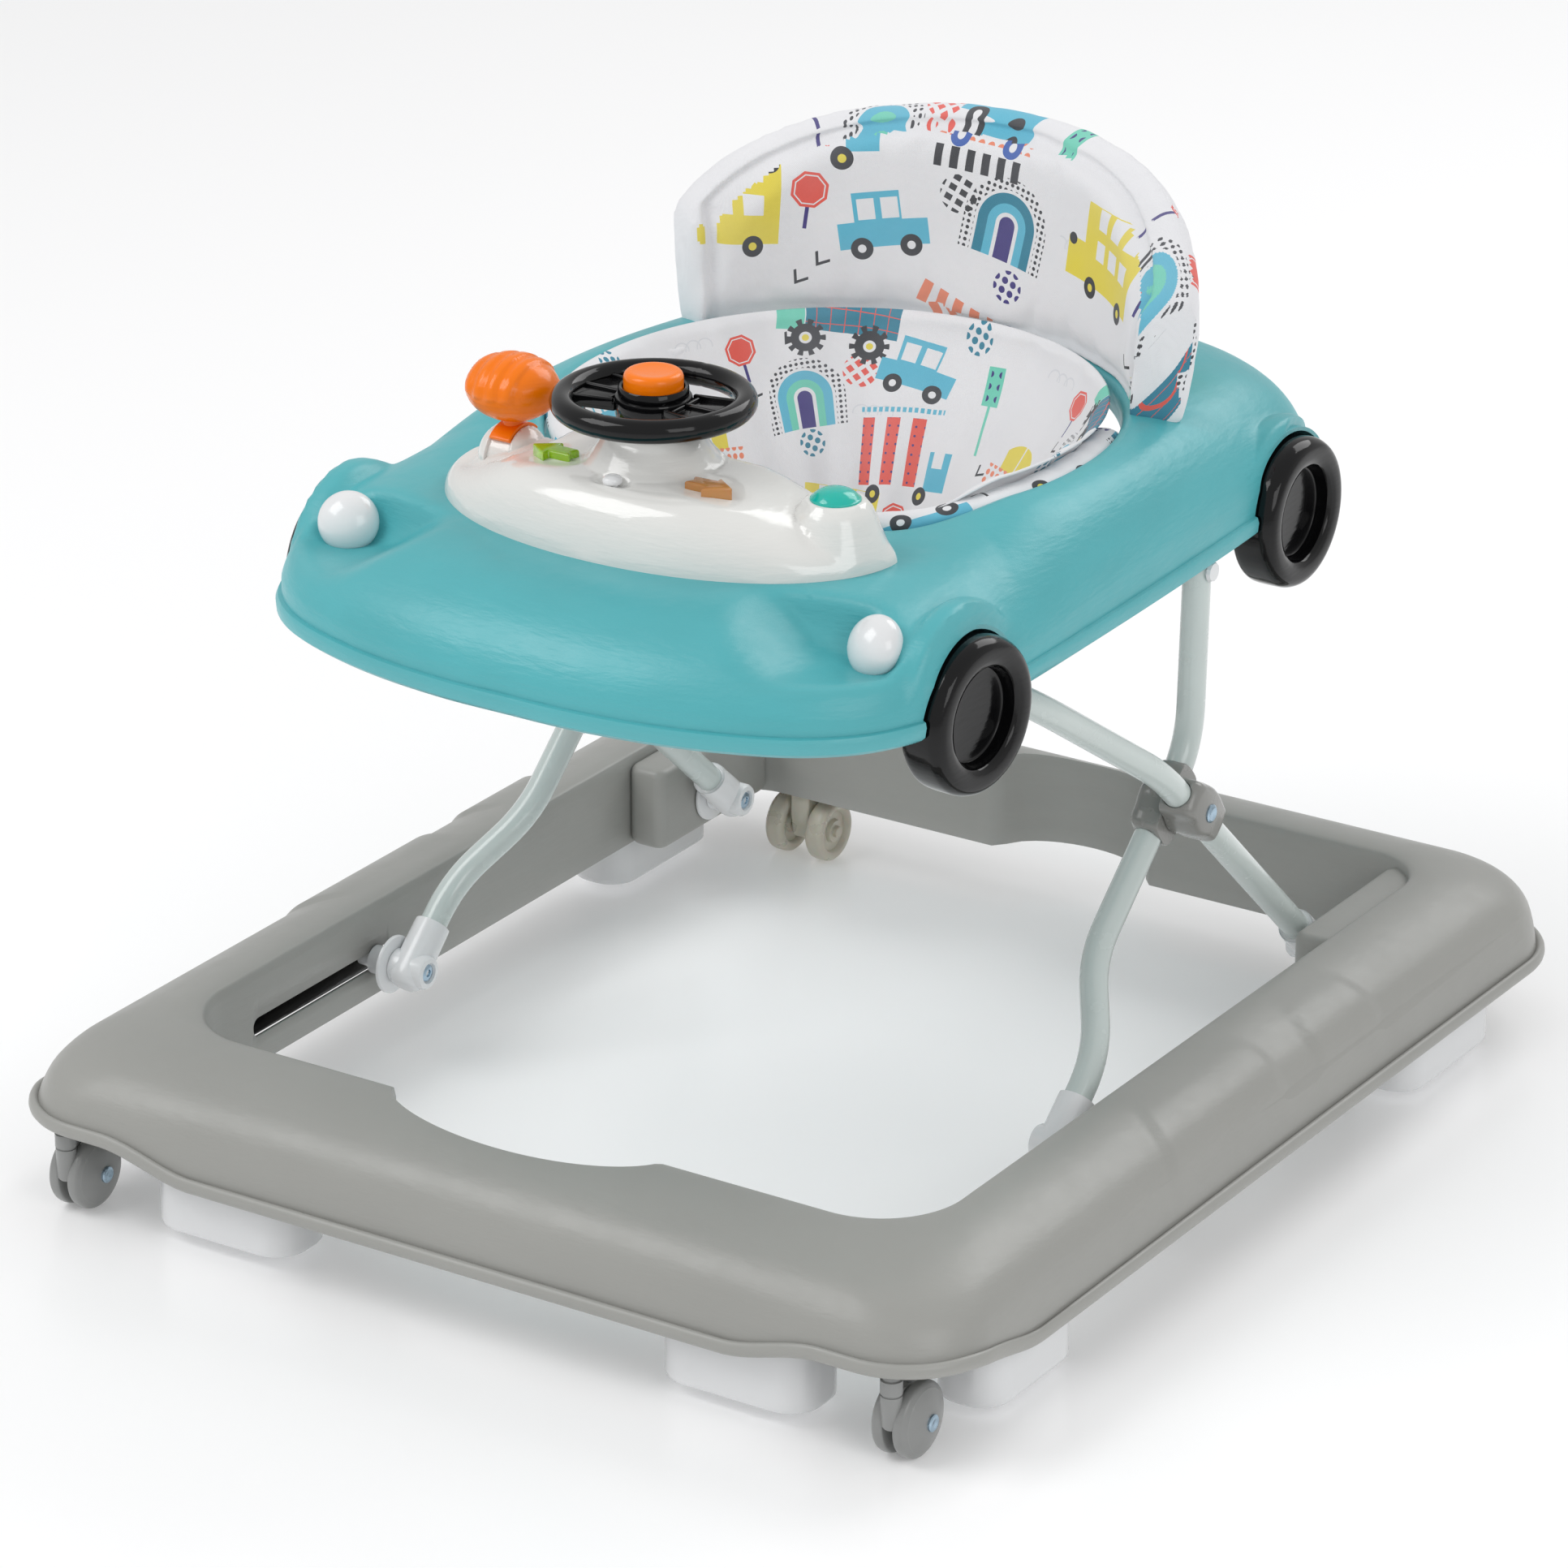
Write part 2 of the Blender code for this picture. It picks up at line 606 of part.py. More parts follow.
def build_plug(name, points):
    """Moulded end plug: a socket over the tube's end, with a bored eye for the pin."""
    eye = Vector(points[0])
    along = (Vector(points[1]) - eye).normalized()
    profile = ((-0.0115, 0.0060), (-0.0100, 0.0092), (-0.0060, 0.0106), (0.0270, 0.0106), (0.0285, 0.0098))
    plug = turned(name, eye, along, profile, "white_plastic", 10)
    cut_round(plug, eye + along * 0.0105, eye + along * 0.040, TUBE_RADIUS + 2 * GAP, 10)
    cut_round(plug, eye - Vector((0.02, 0, 0)), eye + Vector((0.02, 0, 0)), 0.0045, 8)


def build_leg_fittings():
    """End plugs, pivot pins, slider pins, and the clamps at the crossing."""
    for side, sign in SIDES:
        outward = (sign, 0, 0)
        build_plug("plug_pivot_" + side, front_leg_points(sign))
        build_plug("plug_slider_" + side, rear_leg_points(sign))
        profile = ((-0.0135, 0.0048), (-0.0110, 0.0056), (-0.0108, 0.0041), (0.0109, 0.0041), (0.0110, 0.0170),
                   (0.0134, 0.0170), (0.0137, 0.0060), (0.0240, 0.0060))
        turned("pivot_pin_" + side, (sign * FRONT_LEG_X, REAR_PIVOT_Y, PIVOT_Z), outward, profile,
               "white_plastic", 12)
        profile = ((-0.0135, 0.0048), (-0.0110, 0.0056), (-0.0108, 0.0041), (0.0109, 0.0041), (0.0110, 0.0170),
                   (0.0136, 0.0170), (0.0139, 0.0085), (0.0250, 0.0085), (0.0252, 0.0055), (0.0350, 0.0055))
        turned("slider_pin_" + side, (sign * SLIDER_LEG_X, SLIDER_Y, PIVOT_Z), outward, profile,
               "white_plastic", 12)
        build_clamp(side, sign)


def build_clamp(side, sign):
    """Two half clamps, one round each tube at the crossing, and the rivet through both."""
    centre = Vector((0, CROSS_Y, CROSS_Z))
    halves = (("outer", front_leg_points(sign)[:2], CLAMP_SPLIT_X + 0.0003, 0.0208),
              ("inner", rear_leg_points(sign)[2:4], CLAMP_SPLIT_X - 0.0003, -0.0195))
    for place, (low, high), face, depth in halves:
        low, high = Vector(low), Vector(high)
        along = Vector((0, high.y - low.y, high.z - low.z)).normalized()
        up = Vector((0, -along.z, along.y))
        outline = []
        for x, y in rounded_outline((-0.022, -0.0135), (0.022, 0.0135), 0.009, 2):
            outline.append(centre + along * x + up * y)
        loops = []
        steps = ((0.0, 1.0), (0.75, 1.0), (1.0, 0.86))
        for reach, size in steps:
            shift = Vector((sign * (face + depth * reach), 0, 0))
            loops.append([shift + centre + (point - centre) * size for point in outline])
        clamp = solid("clamp_%s_%s" % (place, side), loops, "clamp_plastic")
        cut_round(clamp, low - (high - low), high + (high - low), TUBE_RADIUS + 2 * GAP, 10)
        cut_round(clamp, (sign * 0.160, CROSS_Y, CROSS_Z), (sign * 0.230, CROSS_Y, CROSS_Z), 0.0033, 8)
    profile = ((-0.0225, 0.0044), (-0.0203, 0.0050), (-0.0201, 0.0029), (0.0213, 0.0029), (0.0215, 0.0056),
               (0.0235, 0.0048))
    turned("clamp_rivet_" + side, (sign * CLAMP_SPLIT_X, CROSS_Y, CROSS_Z), (sign, 0, 0), profile,
           "rivet_steel", 8)


# ---------------------------------------------------------------- tray

TRAY_HALF = ((0.0, -0.2950), (0.040, -0.2945), (0.084, -0.2895), (0.124, -0.2795), (0.160, -0.2655),
             (0.186, -0.2450), (0.2010, -0.2170), (0.2055, -0.1850), (0.2065, -0.1250), (0.2045, -0.0500),
             (0.2010, 0.0400), (0.1975, 0.1300), (0.1950, 0.1850), (0.1880, 0.2270), (0.1700, 0.2560),
             (0.1360, 0.2780), (0.0930, 0.2900), (0.0470, 0.2950), (0.0, 0.2960))


def tray_outline():
    """Closed curve of the tray's rim."""
    points = [(x, y, 0) for x, y in TRAY_HALF]
    points += [(-x, y, 0) for x, y in TRAY_HALF[-2:0:-1]]
    return curve_through(points, 2, closed=True)


def reach_of(outline, angle):
    """Distance from the seat's centre to an outline in one direction."""
    way = Vector((math.cos(angle), math.sin(angle)))
    best = 0.0
    for start, end in zip(outline, outline[1:] + outline[:1]):
        a = Vector((start[0], start[1] - SEAT_CENTRE_Y))
        b = Vector((end[0], end[1] - SEAT_CENTRE_Y))
        side_a = way.x * a.y - way.y * a.x
        side_b = way.x * b.y - way.y * b.x
        if side_a * side_b <= 0 and side_a != side_b:
            hit = a + (b - a) * (side_a / (side_a - side_b))
            best = max(best, hit.dot(way))
    return best


def opening_reach(angle):
    """Radius of the seat opening in one direction: oval behind, a little flatter in front."""
    rear = math.sin(angle) >= 0
    power = 2.0 if rear else 2.4
    x = abs(math.cos(angle)) / SEAT_HALF_WIDTH
    y = abs(math.sin(angle)) / (SEAT_RADIUS if rear else SEAT_FRONT_REACH)
    return (x ** power + y ** power) ** (-1 / power)


def front_share(angle):
    """How far a direction from the seat's centre belongs to the tray's lower front deck, 0 to 1."""
    return smooth_step((-math.sin(angle) - 0.35) / 0.4)


def tray_height(angle, inward, width):
    """Height of the tray's top at a distance in from its rim."""
    rise = 0.0675 - 0.0115 * front_share(angle)
    run = min(width, TRAY_ROUNDING)
    s = min(1.0, inward / run)
    return TRAY_RIM_Z + 0.004 + (rise - 0.004) * (1 - (1 - s) ** 2.2) ** (1 / 2.2)


def build_tray():
    """Car-shaped tray: an open-bottomed shell with fenders, wheel wells and lamp recesses."""
    outline = tray_outline()
    section_count = 48
    top_marks = (0.015, 0.08, 0.22, 0.45, 0.75)
    under_marks = (0.75, 0.30, 0.08)
    sections = []
    for i in range(section_count):
        angle = 2 * math.pi * i / section_count
        outer = reach_of(outline, angle)
        width = outer - opening_reach(angle)
        run = min(width, TRAY_ROUNDING)

        def place(inward, height):
            radius = outer - inward
            return (radius * math.cos(angle), SEAT_CENTRE_Y + radius * math.sin(angle), height)

        lip = tray_height(angle, width, width)
        section = [place(0.0, TRAY_RIM_Z), place(-0.002, TRAY_RIM_Z + 0.002), place(0.0, TRAY_RIM_Z + 0.007)]
        for mark in top_marks:
            section.append(place(run * mark, tray_height(angle, run * mark, width) + 0.003 * (mark < 0.1)))
        section += [place(width - 0.004, lip), place(width, lip - 0.003), place(width, lip - 0.014),
                    place(width - TRAY_WALL, lip - 0.014)]
        section.append(place(width - TRAY_WALL - 0.004, lip - TRAY_WALL - 0.0015))
        for mark in under_marks:
            inward = TRAY_WALL + (run - 2 * TRAY_WALL) * mark
            section.append(place(inward, tray_height(angle, inward, width) - TRAY_WALL - 0.0015))
        section += [place(TRAY_WALL, TRAY_RIM_Z + 0.006), place(TRAY_WALL, TRAY_RIM_Z)]
        sections.append(section)
    tray = solid("tray_shell", sections, "tray_plastic", wrap=True)
    for side, sign in SIDES:
        add_lamp_cup(tray, side, sign)
        for end in ("front", "rear"):
            add_fender(tray, side, sign, end)
        cut_lamp_seat(tray, side, sign)
    return tray


def fender_outline(y, radius):
    """Arch over a car wheel, closed along the tray's rim, as (y, z)."""
    low = TRAY_RIM_Z + 0.0005
    reach = math.asin((low - CAR_WHEEL_Z) / radius)
    steps = 14
    points = []
    for step in range(steps + 1):
        angle = reach + (math.pi - 2 * reach) * step / steps
        points.append((y + radius * math.cos(angle), CAR_WHEEL_Z + radius * math.sin(angle)))
    return points


def car_wheel_face(sign, end):
    """Middle of a car wheel's outer face, and the way that it looks: the front wheels look a little ahead."""
    toe = CAR_WHEEL_TOE[end]
    face = Vector((sign * CAR_WHEEL_FACE_X[end], CAR_WHEEL_Y[end], CAR_WHEEL_Z))
    return face, Vector((sign * math.cos(toe), -math.sin(toe), 0))


def add_fender(tray, side, sign, end):
    """Arch over a car wheel, with the wheel's well and the plate that the wheel is fixed to."""
    name = "%s_%s" % (end, side)
    y = CAR_WHEEL_Y[end]
    face, axis = car_wheel_face(sign, end)
    back = face - axis * (CAR_WHEEL_WIDTH + 0.0005)
    plate_x = abs(back.x) - WHEEL_WELL_WALL
    arch = fender_outline(y, FENDER_RADIUS)
    fender = extruded_x("fender_" + name, arch, sign * plate_x, sign * FENDER_OUTER_X[end], "tray_plastic")
    combine(tray, fender, "UNION")
    tab = ((y - 0.016, CAR_WHEEL_Z - 0.015), (y + 0.016, CAR_WHEEL_Z - 0.015), (y + 0.016, 0.365),
           (y - 0.016, 0.365))
    plate = extruded_x("wheel_plate_" + name, tab, sign * plate_x, sign * (abs(back.x) + 0.001), "tray_plastic")
    combine(tray, plate, "UNION")
    cut_round(tray, back, back + axis * 0.060, WHEEL_WELL_RADIUS, 20)


def lamp_direction(sign):
    """Way that a lamp looks: forward, outward and up."""
    return Vector((sign * 0.30, -0.85, 0.43)).normalized()


def add_lamp_cup(tray, side, sign):
    """Cup behind the tray's skin that a lamp sits in."""
    x, y, z = LAMP_CENTRE
    start = Vector((sign * x, y, z)) - lamp_direction(sign) * 0.0200
    profile = ((0.0, 0.012), (0.005, 0.0195), (0.020, 0.0210))
    cup = turned("lamp_cup_" + side, start, lamp_direction(sign), profile, "tray_plastic", 14)
    combine(tray, cup, "UNION")


def cut_lamp_seat(tray, side, sign):
    """Round seat for a lamp, open to the front."""
    x, y, z = LAMP_CENTRE
    start = Vector((sign * x, y, z)) - lamp_direction(sign) * 0.0173
    profile = ((0.0, 0.0060), (0.0045, 0.0138), (0.0110, 0.0174), (0.0172, 0.0179), (0.0500, 0.0183))
    seat = turned("lamp_seat_" + side, start, lamp_direction(sign), profile, "board_plastic", 14)
    combine(tray, seat, "DIFFERENCE")


def build_lamps():
    """White lamp balls."""
    steps = 8
    profile = []
    for step in range(1, steps):
        angle = math.pi * step / steps
        profile.append((-LAMP_RADIUS * math.cos(angle), LAMP_RADIUS * math.sin(angle)))
    for side, sign in SIDES:
        x, y, z = LAMP_CENTRE
        turned("lamp_" + side, (sign * x, y, z), lamp_direction(sign), profile, "white_plastic", 14)


def build_car_wheels():
    """Four black wheels: a round tyre with a deep recess and a disc at its bottom."""
    width = CAR_WHEEL_WIDTH
    radius = CAR_WHEEL_RADIUS
    profile = ((0.0, radius - 0.006), (0.003, radius - 0.0015), (0.008, radius), (width - 0.007, radius),
               (width - 0.002, radius - 0.0025), (width, radius - 0.0070), (width - 0.0005, radius - 0.0140),
               (width - 0.0085, radius - 0.0175))
    for side, sign in SIDES:
        for end in ("front", "rear"):
            face, axis = car_wheel_face(sign, end)
            turned("car_wheel_%s_%s" % (end, side), face - axis * width, axis, profile, "black_plastic", 20)


def build_height_adjuster():
    """White box under the tray's front, with the saddle that the leg frame's cross bar sits in."""
    outline = ((-0.256, 0.320), (-0.225, 0.320), (-0.203, 0.3395), (-0.1585, 0.3725), (-0.150, 0.3740),
               (-0.1425, 0.3715), (-0.1395, 0.3650), (-0.1395, 0.3500), (-0.1310, 0.3500), (-0.1310, 0.3920),
               (-0.204, 0.3920), (-0.252, 0.3750), (-0.256, 0.3700))
    extruded_x("height_adjuster", outline, -0.040, 0.022, "white_plastic")


def build_tray_brackets():
    """Brackets that hang from the tray and carry the rear legs' top pivots on a stud."""
    for side, sign in SIDES:
        y, z = TRAY_PIVOT_Y, TRAY_PIVOT_Z
        outline = ((y - 0.016, 0.3910), (y - 0.016, z + 0.012), (y - 0.010, z - 0.006), (y, z - 0.0105),
                   (y + 0.010, z - 0.006), (y + 0.016, z + 0.012), (y + 0.016, 0.3910))
        x_low, x_high = sorted((sign * 0.1700, sign * 0.1784))
        bracket = extruded_x("tray_bracket_" + side, outline, x_low, x_high, "white_plastic")
        profile = ((0.0, 0.0040), (0.0205, 0.0040), (0.0207, 0.0058), (0.0228, 0.0052))
        stud = turned("bracket_stud_" + side, (sign * 0.1750, y, z), (sign, 0, 0), profile, "white_plastic", 12)
        combine(bracket, stud, "UNION")


# ---------------------------------------------------------------- toy console

def console_outline(inset):
    """Outline of the console as (x, y): a long oval in front, a shallow bow behind."""
    points = []
    count = 28
    for i in range(count):
        angle = 2 * math.pi * i / count
        cos, sin = math.cos(angle), math.sin(angle)
        reach, shape, keep = (CONSOLE_FRONT_REACH, 1.0, 1.0) if sin < 0 else (CONSOLE_REAR_REACH, 0.6, 0.6)
        x = math.copysign(abs(cos) ** shape, cos) * (CONSOLE_HALF_WIDTH - inset)
        y = CONSOLE_CENTRE_Y + sin * (reach - keep * inset)
        points.append((x, y))
    return points


def console_height(x, rise):
    """Height of the console at a share of its rise, lower towards its two ends."""
    drop = 1 - CONSOLE_END_DROP * smooth_step((abs(x) - 0.045) / 0.070)
    return TRAY_DECK_Z + 0.0008 + CONSOLE_HEIGHT * rise * drop


def build_console():
    """White console shell with its steering boss, lever housing, dome pedestal and openings."""
    outside = ((0.0, 0.0), (0.35, 0.0015), (0.62, 0.005), (0.85, 0.0115), (0.95, 0.0185))
    inside = ((0.93, 0.0185), (0.80, 0.0130), (0.35, 0.0040), (0.0, CONSOLE_WALL))
    crown_y = CONSOLE_CENTRE_Y - 0.028
    loops = []
    for rise, inset in outside:
        loops.append([(x, y, console_height(x, rise)) for x, y in console_outline(inset)])
    crown = []
    for share, rise in ((0.70, 1.0), (0.30, 1.03)):
        shrunk = [(x * share, crown_y + (y - crown_y) * share) for x, y in console_outline(0.0185)]
        crown.append([(x, y, console_height(x, rise)) for x, y in shrunk])
    loops += crown
    under = [[(x, y, z - CONSOLE_WALL) for x, y, z in loop] for loop in crown[::-1]]
    for rise, inset in inside:
        drop = CONSOLE_WALL if rise > 0 else 0.0
        under.append([(x, y, console_height(x, rise) - drop) for x, y in console_outline(inset)])
    bm = bmesh.new()
    upper = [[bm.verts.new(point) for point in loop] for loop in loops]
    lower = [[bm.verts.new(point) for point in loop] for loop in under]
    for rows in (upper, lower, [lower[-1], upper[0]]):
        join_rows(bm, rows)
    bm.faces.new(upper[-1])
    bm.faces.new(lower[0][::-1])
    console = add_object("console_shell", bm, "console_plastic")
    add_console_features(console)
    return console


def add_console_features(console):
    """Boss, housing and pedestal on the console, and the holes for its moving pieces."""
    boss = turned("steering_boss", (0, STEER_Y, 0), (0, 0, 1),
                  ((CONSOLE_TOP - 0.004, 0.035), (CONSOLE_TOP + 0.006, 0.031), (CONSOLE_TOP + 0.014, 0.0235)),
                  "console_plastic", 18)
    combine(console, boss, "UNION")
    cut_round(console, (0, STEER_Y, CONSOLE_TOP - 0.02), (0, STEER_Y, CONSOLE_TOP + 0.03), 0.0083, 10)
    pedestal = turned("dome_pedestal", (DOME_X, DOME_Y, 0), (0, 0, 1),
                      ((0.4080, 0.0200), (0.4310, 0.0195), (0.4335, 0.0180)), "console_plastic", 16)
    combine(console, pedestal, "UNION")
    cut_round(console, (DOME_X, DOME_Y, 0.400), (DOME_X, DOME_Y, 0.450), 0.0145, 14)
    centre = Vector((LEVER_X, LEVER_Y, LEVER_Z))
    profile = []
    for angle in (-0.20, 0.15, 0.55, 0.95, 1.30):
        profile.append((LEVER_HOUSING * math.sin(angle), LEVER_HOUSING * math.cos(angle)))
    housing = turned("lever_housing", centre, (0, 0, 1), profile, "console_plastic", 16)
    combine(console, housing, "UNION")
    groove = turned("lever_groove", centre - Vector((0.0072, 0, 0)), (1, 0, 0),
                    ((0.0, 0.0200), (0.0144, 0.0200)), "board_plastic", 16)
    combine(console, groove, "DIFFERENCE")
    core = turned("lever_core", centre - Vector((0.0085, 0, 0)), (1, 0, 0),
                  ((0.0, 0.0160), (0.0170, 0.0160)), "console_plastic", 16)
    combine(console, core, "UNION")
    for place, sign in SIDES:
        outline = arrow_outline(sign, GAP)
        loops = [[(x, y, z) for x, y in outline] for z in (0.415, 0.450)]
        tool = solid("arrow_hole_" + place, loops, "board_plastic")
        combine(console, tool, "DIFFERENCE")
    half_length, half_width = 0.0095, 0.0037
    outline = rounded_outline((SWITCH_X - half_length, SWITCH_Y - half_width),
                              (SWITCH_X + half_length, SWITCH_Y + half_width), 0.0036, 2)
    tool = solid("switch_slot", [[(x, y, z) for x, y in outline] for z in (0.415, 0.450)], "board_plastic")
    combine(console, tool, "DIFFERENCE")


def arrow_outline(sign, grow):
    """Curved arrow that points away from the steering wheel, as (x, y)."""
    centre_x, centre_y = sign * ARROW_X, ARROW_Y
    tail, neck, tip = -0.0130 - grow, 0.0010 - grow, 0.0142 + 1.7 * grow
    narrow, wide = 0.0050 + grow, 0.0100 + 2.4 * grow
    shape = ((tail, -narrow), (tail, narrow), (neck, narrow), (neck, wide), (tip, 0.0), (neck, -wide),
             (neck, -narrow))
    return [(centre_x + sign * along, centre_y + across) for along, across in shape]


def build_console_buttons():
    """Arrow buttons, dome button and slide switch."""
    for place, sign in SIDES:
        finish = "green_clear" if sign < 0 else "amber_clear"
        outline = arrow_outline(sign, 0.0)
        loops = [[(x, y, z) for x, y in outline] for z in (0.4240, 0.4385)]
        top = scaled_outline(outline, 0.0012)
        loops.append([(x, y, 0.4400) for x, y in top])
        solid("arrow_button_" + place, loops, finish)
    profile = ((0.4200, 0.0138), (0.4333, 0.0138), (0.4375, 0.0105), (0.4398, 0.0040))
    turned("dome_button", (DOME_X, DOME_Y, 0), (0, 0, 1), profile, "teal_clear", 14)
    profile = ((0.4260, 0.0030), (0.4368, 0.0030), (0.4372, 0.0052), (0.4395, 0.0052), (0.4412, 0.0030))
    turned("slide_switch", (SWITCH_X, SWITCH_Y, 0), (0, 0, 1), profile, "white_plastic", 10)


def build_steering():
    """Steering wheel with two spokes and a hub cup, and the horn button inside the cup."""
    centre = Vector((0, STEER_Y, STEER_Z))
    loops = []
    count = 24
    for i in range(count):
        angle = 2 * math.pi * i / count
        way = Vector((math.cos(angle), math.sin(angle), 0))
        loops.append(circle(centre + way * STEER_RADIUS, way, (0, 0, 1), STEER_TUBE, 8))
    wheel = solid("steering_wheel", loops, "black_plastic", wrap=True)
    profile = ((-0.0165, 0.0150), (-0.0060, 0.0205), (0.0060, 0.0205), (0.0090, 0.0195))
    hub = turned("steering_hub", centre, (0, 0, 1), profile, "black_plastic", 16)
    combine(wheel, hub, "UNION")
    shaft = turned("steering_shaft", centre, (0, 0, 1), ((-0.0420, 0.0078), (-0.0150, 0.0078)),
                   "black_plastic", 10)
    combine(wheel, shaft, "UNION")
    for name, spread in (("left", math.pi), ("right", 0.0)):
        loops = []
        for reach in (0.014, STEER_RADIUS):
            width = 0.014 if reach < 0.02 else 0.020
            row = []
            for across, up in ((-width, -0.004), (width, -0.004), (width, 0.003), (-width, 0.003)):
                x = reach * math.cos(spread) - across * math.sin(spread)
                y = reach * math.sin(spread) + across * math.cos(spread)
                row.append((x, STEER_Y + y, STEER_Z + up))
            loops.append(row)
        spoke = solid("steering_spoke_" + name, loops, "black_plastic")
        combine(wheel, spoke, "UNION")
    well = turned("horn_well", centre, (0, 0, 1), ((-0.0040, 0.0170), (0.0200, 0.0170)), "board_plastic", 16)
    combine(wheel, well, "DIFFERENCE")
    profile = ((0.0002, 0.0160), (0.0150, 0.0162), (0.0175, 0.0130), (0.0172, 0.0050))
    turned("horn_button", centre, (0, 0, 1), profile, "orange_plastic", 16)


def build_shift_lever():
    """Orange egg knob on a neck, with the curved strip that slides over the lever's core."""
    centre = Vector((LEVER_X, LEVER_Y, LEVER_Z))
    spread = math.radians(46)
    steps = 6
    section = []
    for radius, order in ((LEVER_HOUSING - 0.0003, 1), (0.0163, -1)):
        arc = []
        for step in range(steps + 1):
            angle = math.pi / 2 + spread * (1 - 2 * step / steps)
            arc.append((centre.y + radius * math.cos(angle), centre.z + radius * math.sin(angle)))
        section += arc[::order]
    lever = extruded_x("shift_lever", section, LEVER_X - 0.0068, LEVER_X + 0.0068, "orange_plastic")
    neck = turned("lever_neck", centre, (0, 0, 1), ((0.0178, 0.0055), (0.0300, 0.0052)), "orange_plastic", 12)
    combine(lever, neck, "UNION")
    profile = []
    knob_steps = 8
    for step in range(1, knob_steps):
        angle = math.pi * step / knob_steps
        profile.append((KNOB_RISE - KNOB_HALF_HEIGHT * math.cos(angle), KNOB_RADIUS * math.sin(angle)))
    knob = turned("lever_knob", centre, (0, 0, 1), profile, "orange_plastic", 14)
    combine(lever, knob, "UNION")


# ---------------------------------------------------------------- seat

def cushion_top(angle):
    """Height of the arched cushion at an angle from straight behind."""
    spread = abs(angle) / math.radians(68)
    power = 2.2
    return CUSHION_TOP - 0.115 * (1 - (1 - spread ** power) ** (1 / power))


def seat_point(radius, angle, height):
    """Point round the seat's centre, at an angle from straight behind."""
    return (radius * math.sin(angle), SEAT_CENTRE_Y + radius * math.cos(angle), height)


def build_cushion():
    """Padded arch round the seat's back, with a pocket in its underside for the board."""
    lean = 0.013
    steps = 14
    sections = []
    for step in range(steps + 1):
        angle = CUSHION_END_ANGLE * (2 * step / steps - 1)
        top = cushion_top(angle)
        low = CUSHION_BOTTOM
        tilt = lean * (top - low) / (CUSHION_TOP - low)
        pocket = BOARD_THICKNESS / 2 + 0.0008
        board_top = board_height(angle) + 0.0008
        shift = lean * (board_top - low) / (CUSHION_TOP - low)
        profile = ((CUSHION_OUTER, low), (CUSHION_OUTER + tilt * 0.8, top - 0.016),
                   (CUSHION_OUTER + tilt - 0.008, top - 0.004), (CUSHION_OUTER + tilt - 0.019, top),
                   (CUSHION_INNER + tilt + 0.009, top - 0.004), (CUSHION_INNER + tilt, top - 0.016),
                   (CUSHION_INNER, low), (BOARD_RADIUS - pocket, low),
                   (BOARD_RADIUS - pocket + shift, board_top), (BOARD_RADIUS + pocket + shift, board_top),
                   (BOARD_RADIUS + pocket, low))
        sections.append([seat_point(radius, angle, height) for radius, height in profile])
    solid("seat_cushion", sections, "print_fabric")


def board_height(angle):
    """Height of the stiff board inside the cushion."""
    return cushion_top(angle) - 0.022


def build_board():
    """Stiff curved board that stands on the tray inside the cushion."""
    lean = 0.013
    steps = 14
    sections = []
    for step in range(steps + 1):
        angle = (CUSHION_END_ANGLE - math.radians(1.5)) * (2 * step / steps - 1)
        top = board_height(angle) - 0.0015
        shift = lean * (top - CUSHION_BOTTOM) / (CUSHION_TOP - CUSHION_BOTTOM)
        low = CUSHION_BOTTOM - 0.0010
        half = BOARD_THICKNESS / 2
        profile = ((BOARD_RADIUS - half, low), (BOARD_RADIUS - half + shift, top),
                   (BOARD_RADIUS + half + shift, top), (BOARD_RADIUS + half, low))
        sections.append([seat_point(radius, angle, height) for radius, height in profile])
    solid("seat_board", sections, "board_plastic")


def build_roll():
    """Fabric roll on the tray's edge, round the front of the opening between the cushion's ends."""
    start = math.radians(28 - 2.5)
    steps = 18
    loops = []
    for step in range(steps + 1):
        angle = start - (math.pi + 2 * start) * step / steps
        front = front_share(angle)
        radius = opening_reach(angle) - 0.001 - 0.0140 * front
        half_width = 0.0125 - 0.0040 * front
        rest = tray_height(angle, 1.0, 1.0) + 0.0004
        loop = []
        count = 8
        for i in range(count):
            turn = 2 * math.pi * i / count
            r = radius + half_width * math.cos(turn)
            height = rest + 0.0075 + 0.0075 * math.sin(turn)
            loop.append((r * math.cos(angle), SEAT_CENTRE_Y + r * math.sin(angle), height))
        loops.append(loop)
    solid("seat_roll", loops, "print_fabric")


def sling_point(angle, depth, inset):
    """Point of the seat sling: depth 0 is its top edge and 1 its bottom."""
    top = 0.3975
    rim = opening_reach(angle) - 0.0060
    fall = math.sin(depth * math.pi / 2)
    height = top - (top - SLING_BOTTOM) * (1 - math.cos(depth * math.pi / 2)) ** 0.8
    shrink = 1 - 0.52 * fall ** 2.4
    radius = rim * shrink - inset
    shift = 0.012 * fall
    return (radius * math.cos(angle) * (1 - 0.10 * fall), SEAT_CENTRE_Y + shift + radius * math.sin(angle),
            height + inset * 0.9 * fall)


def build_sling():
    """Fabric bucket under the opening, with a hole for each leg in front."""
    count = 24
    depths = (0.0, 0.34, 0.62, 0.82, 0.95)
    angles = [2 * math.pi * i / count for i in range(count)]
    outer = [[sling_point(angle, depth, 0.0) for angle in angles] for depth in depths]
    inner = [[sling_point(angle, depth, SLING_THICKNESS) for angle in angles] for depth in depths]
    sling = solid("seat_sling", outer[::-1] + inner, "print_fabric", crease=60)
    for side, sign in SIDES:
        start = Vector((sign * 0.060, 0.000, 0.290))
        end = Vector((sign * 0.115, -0.160, 0.315))
        cut_round(sling, start, end, 0.048, 14)


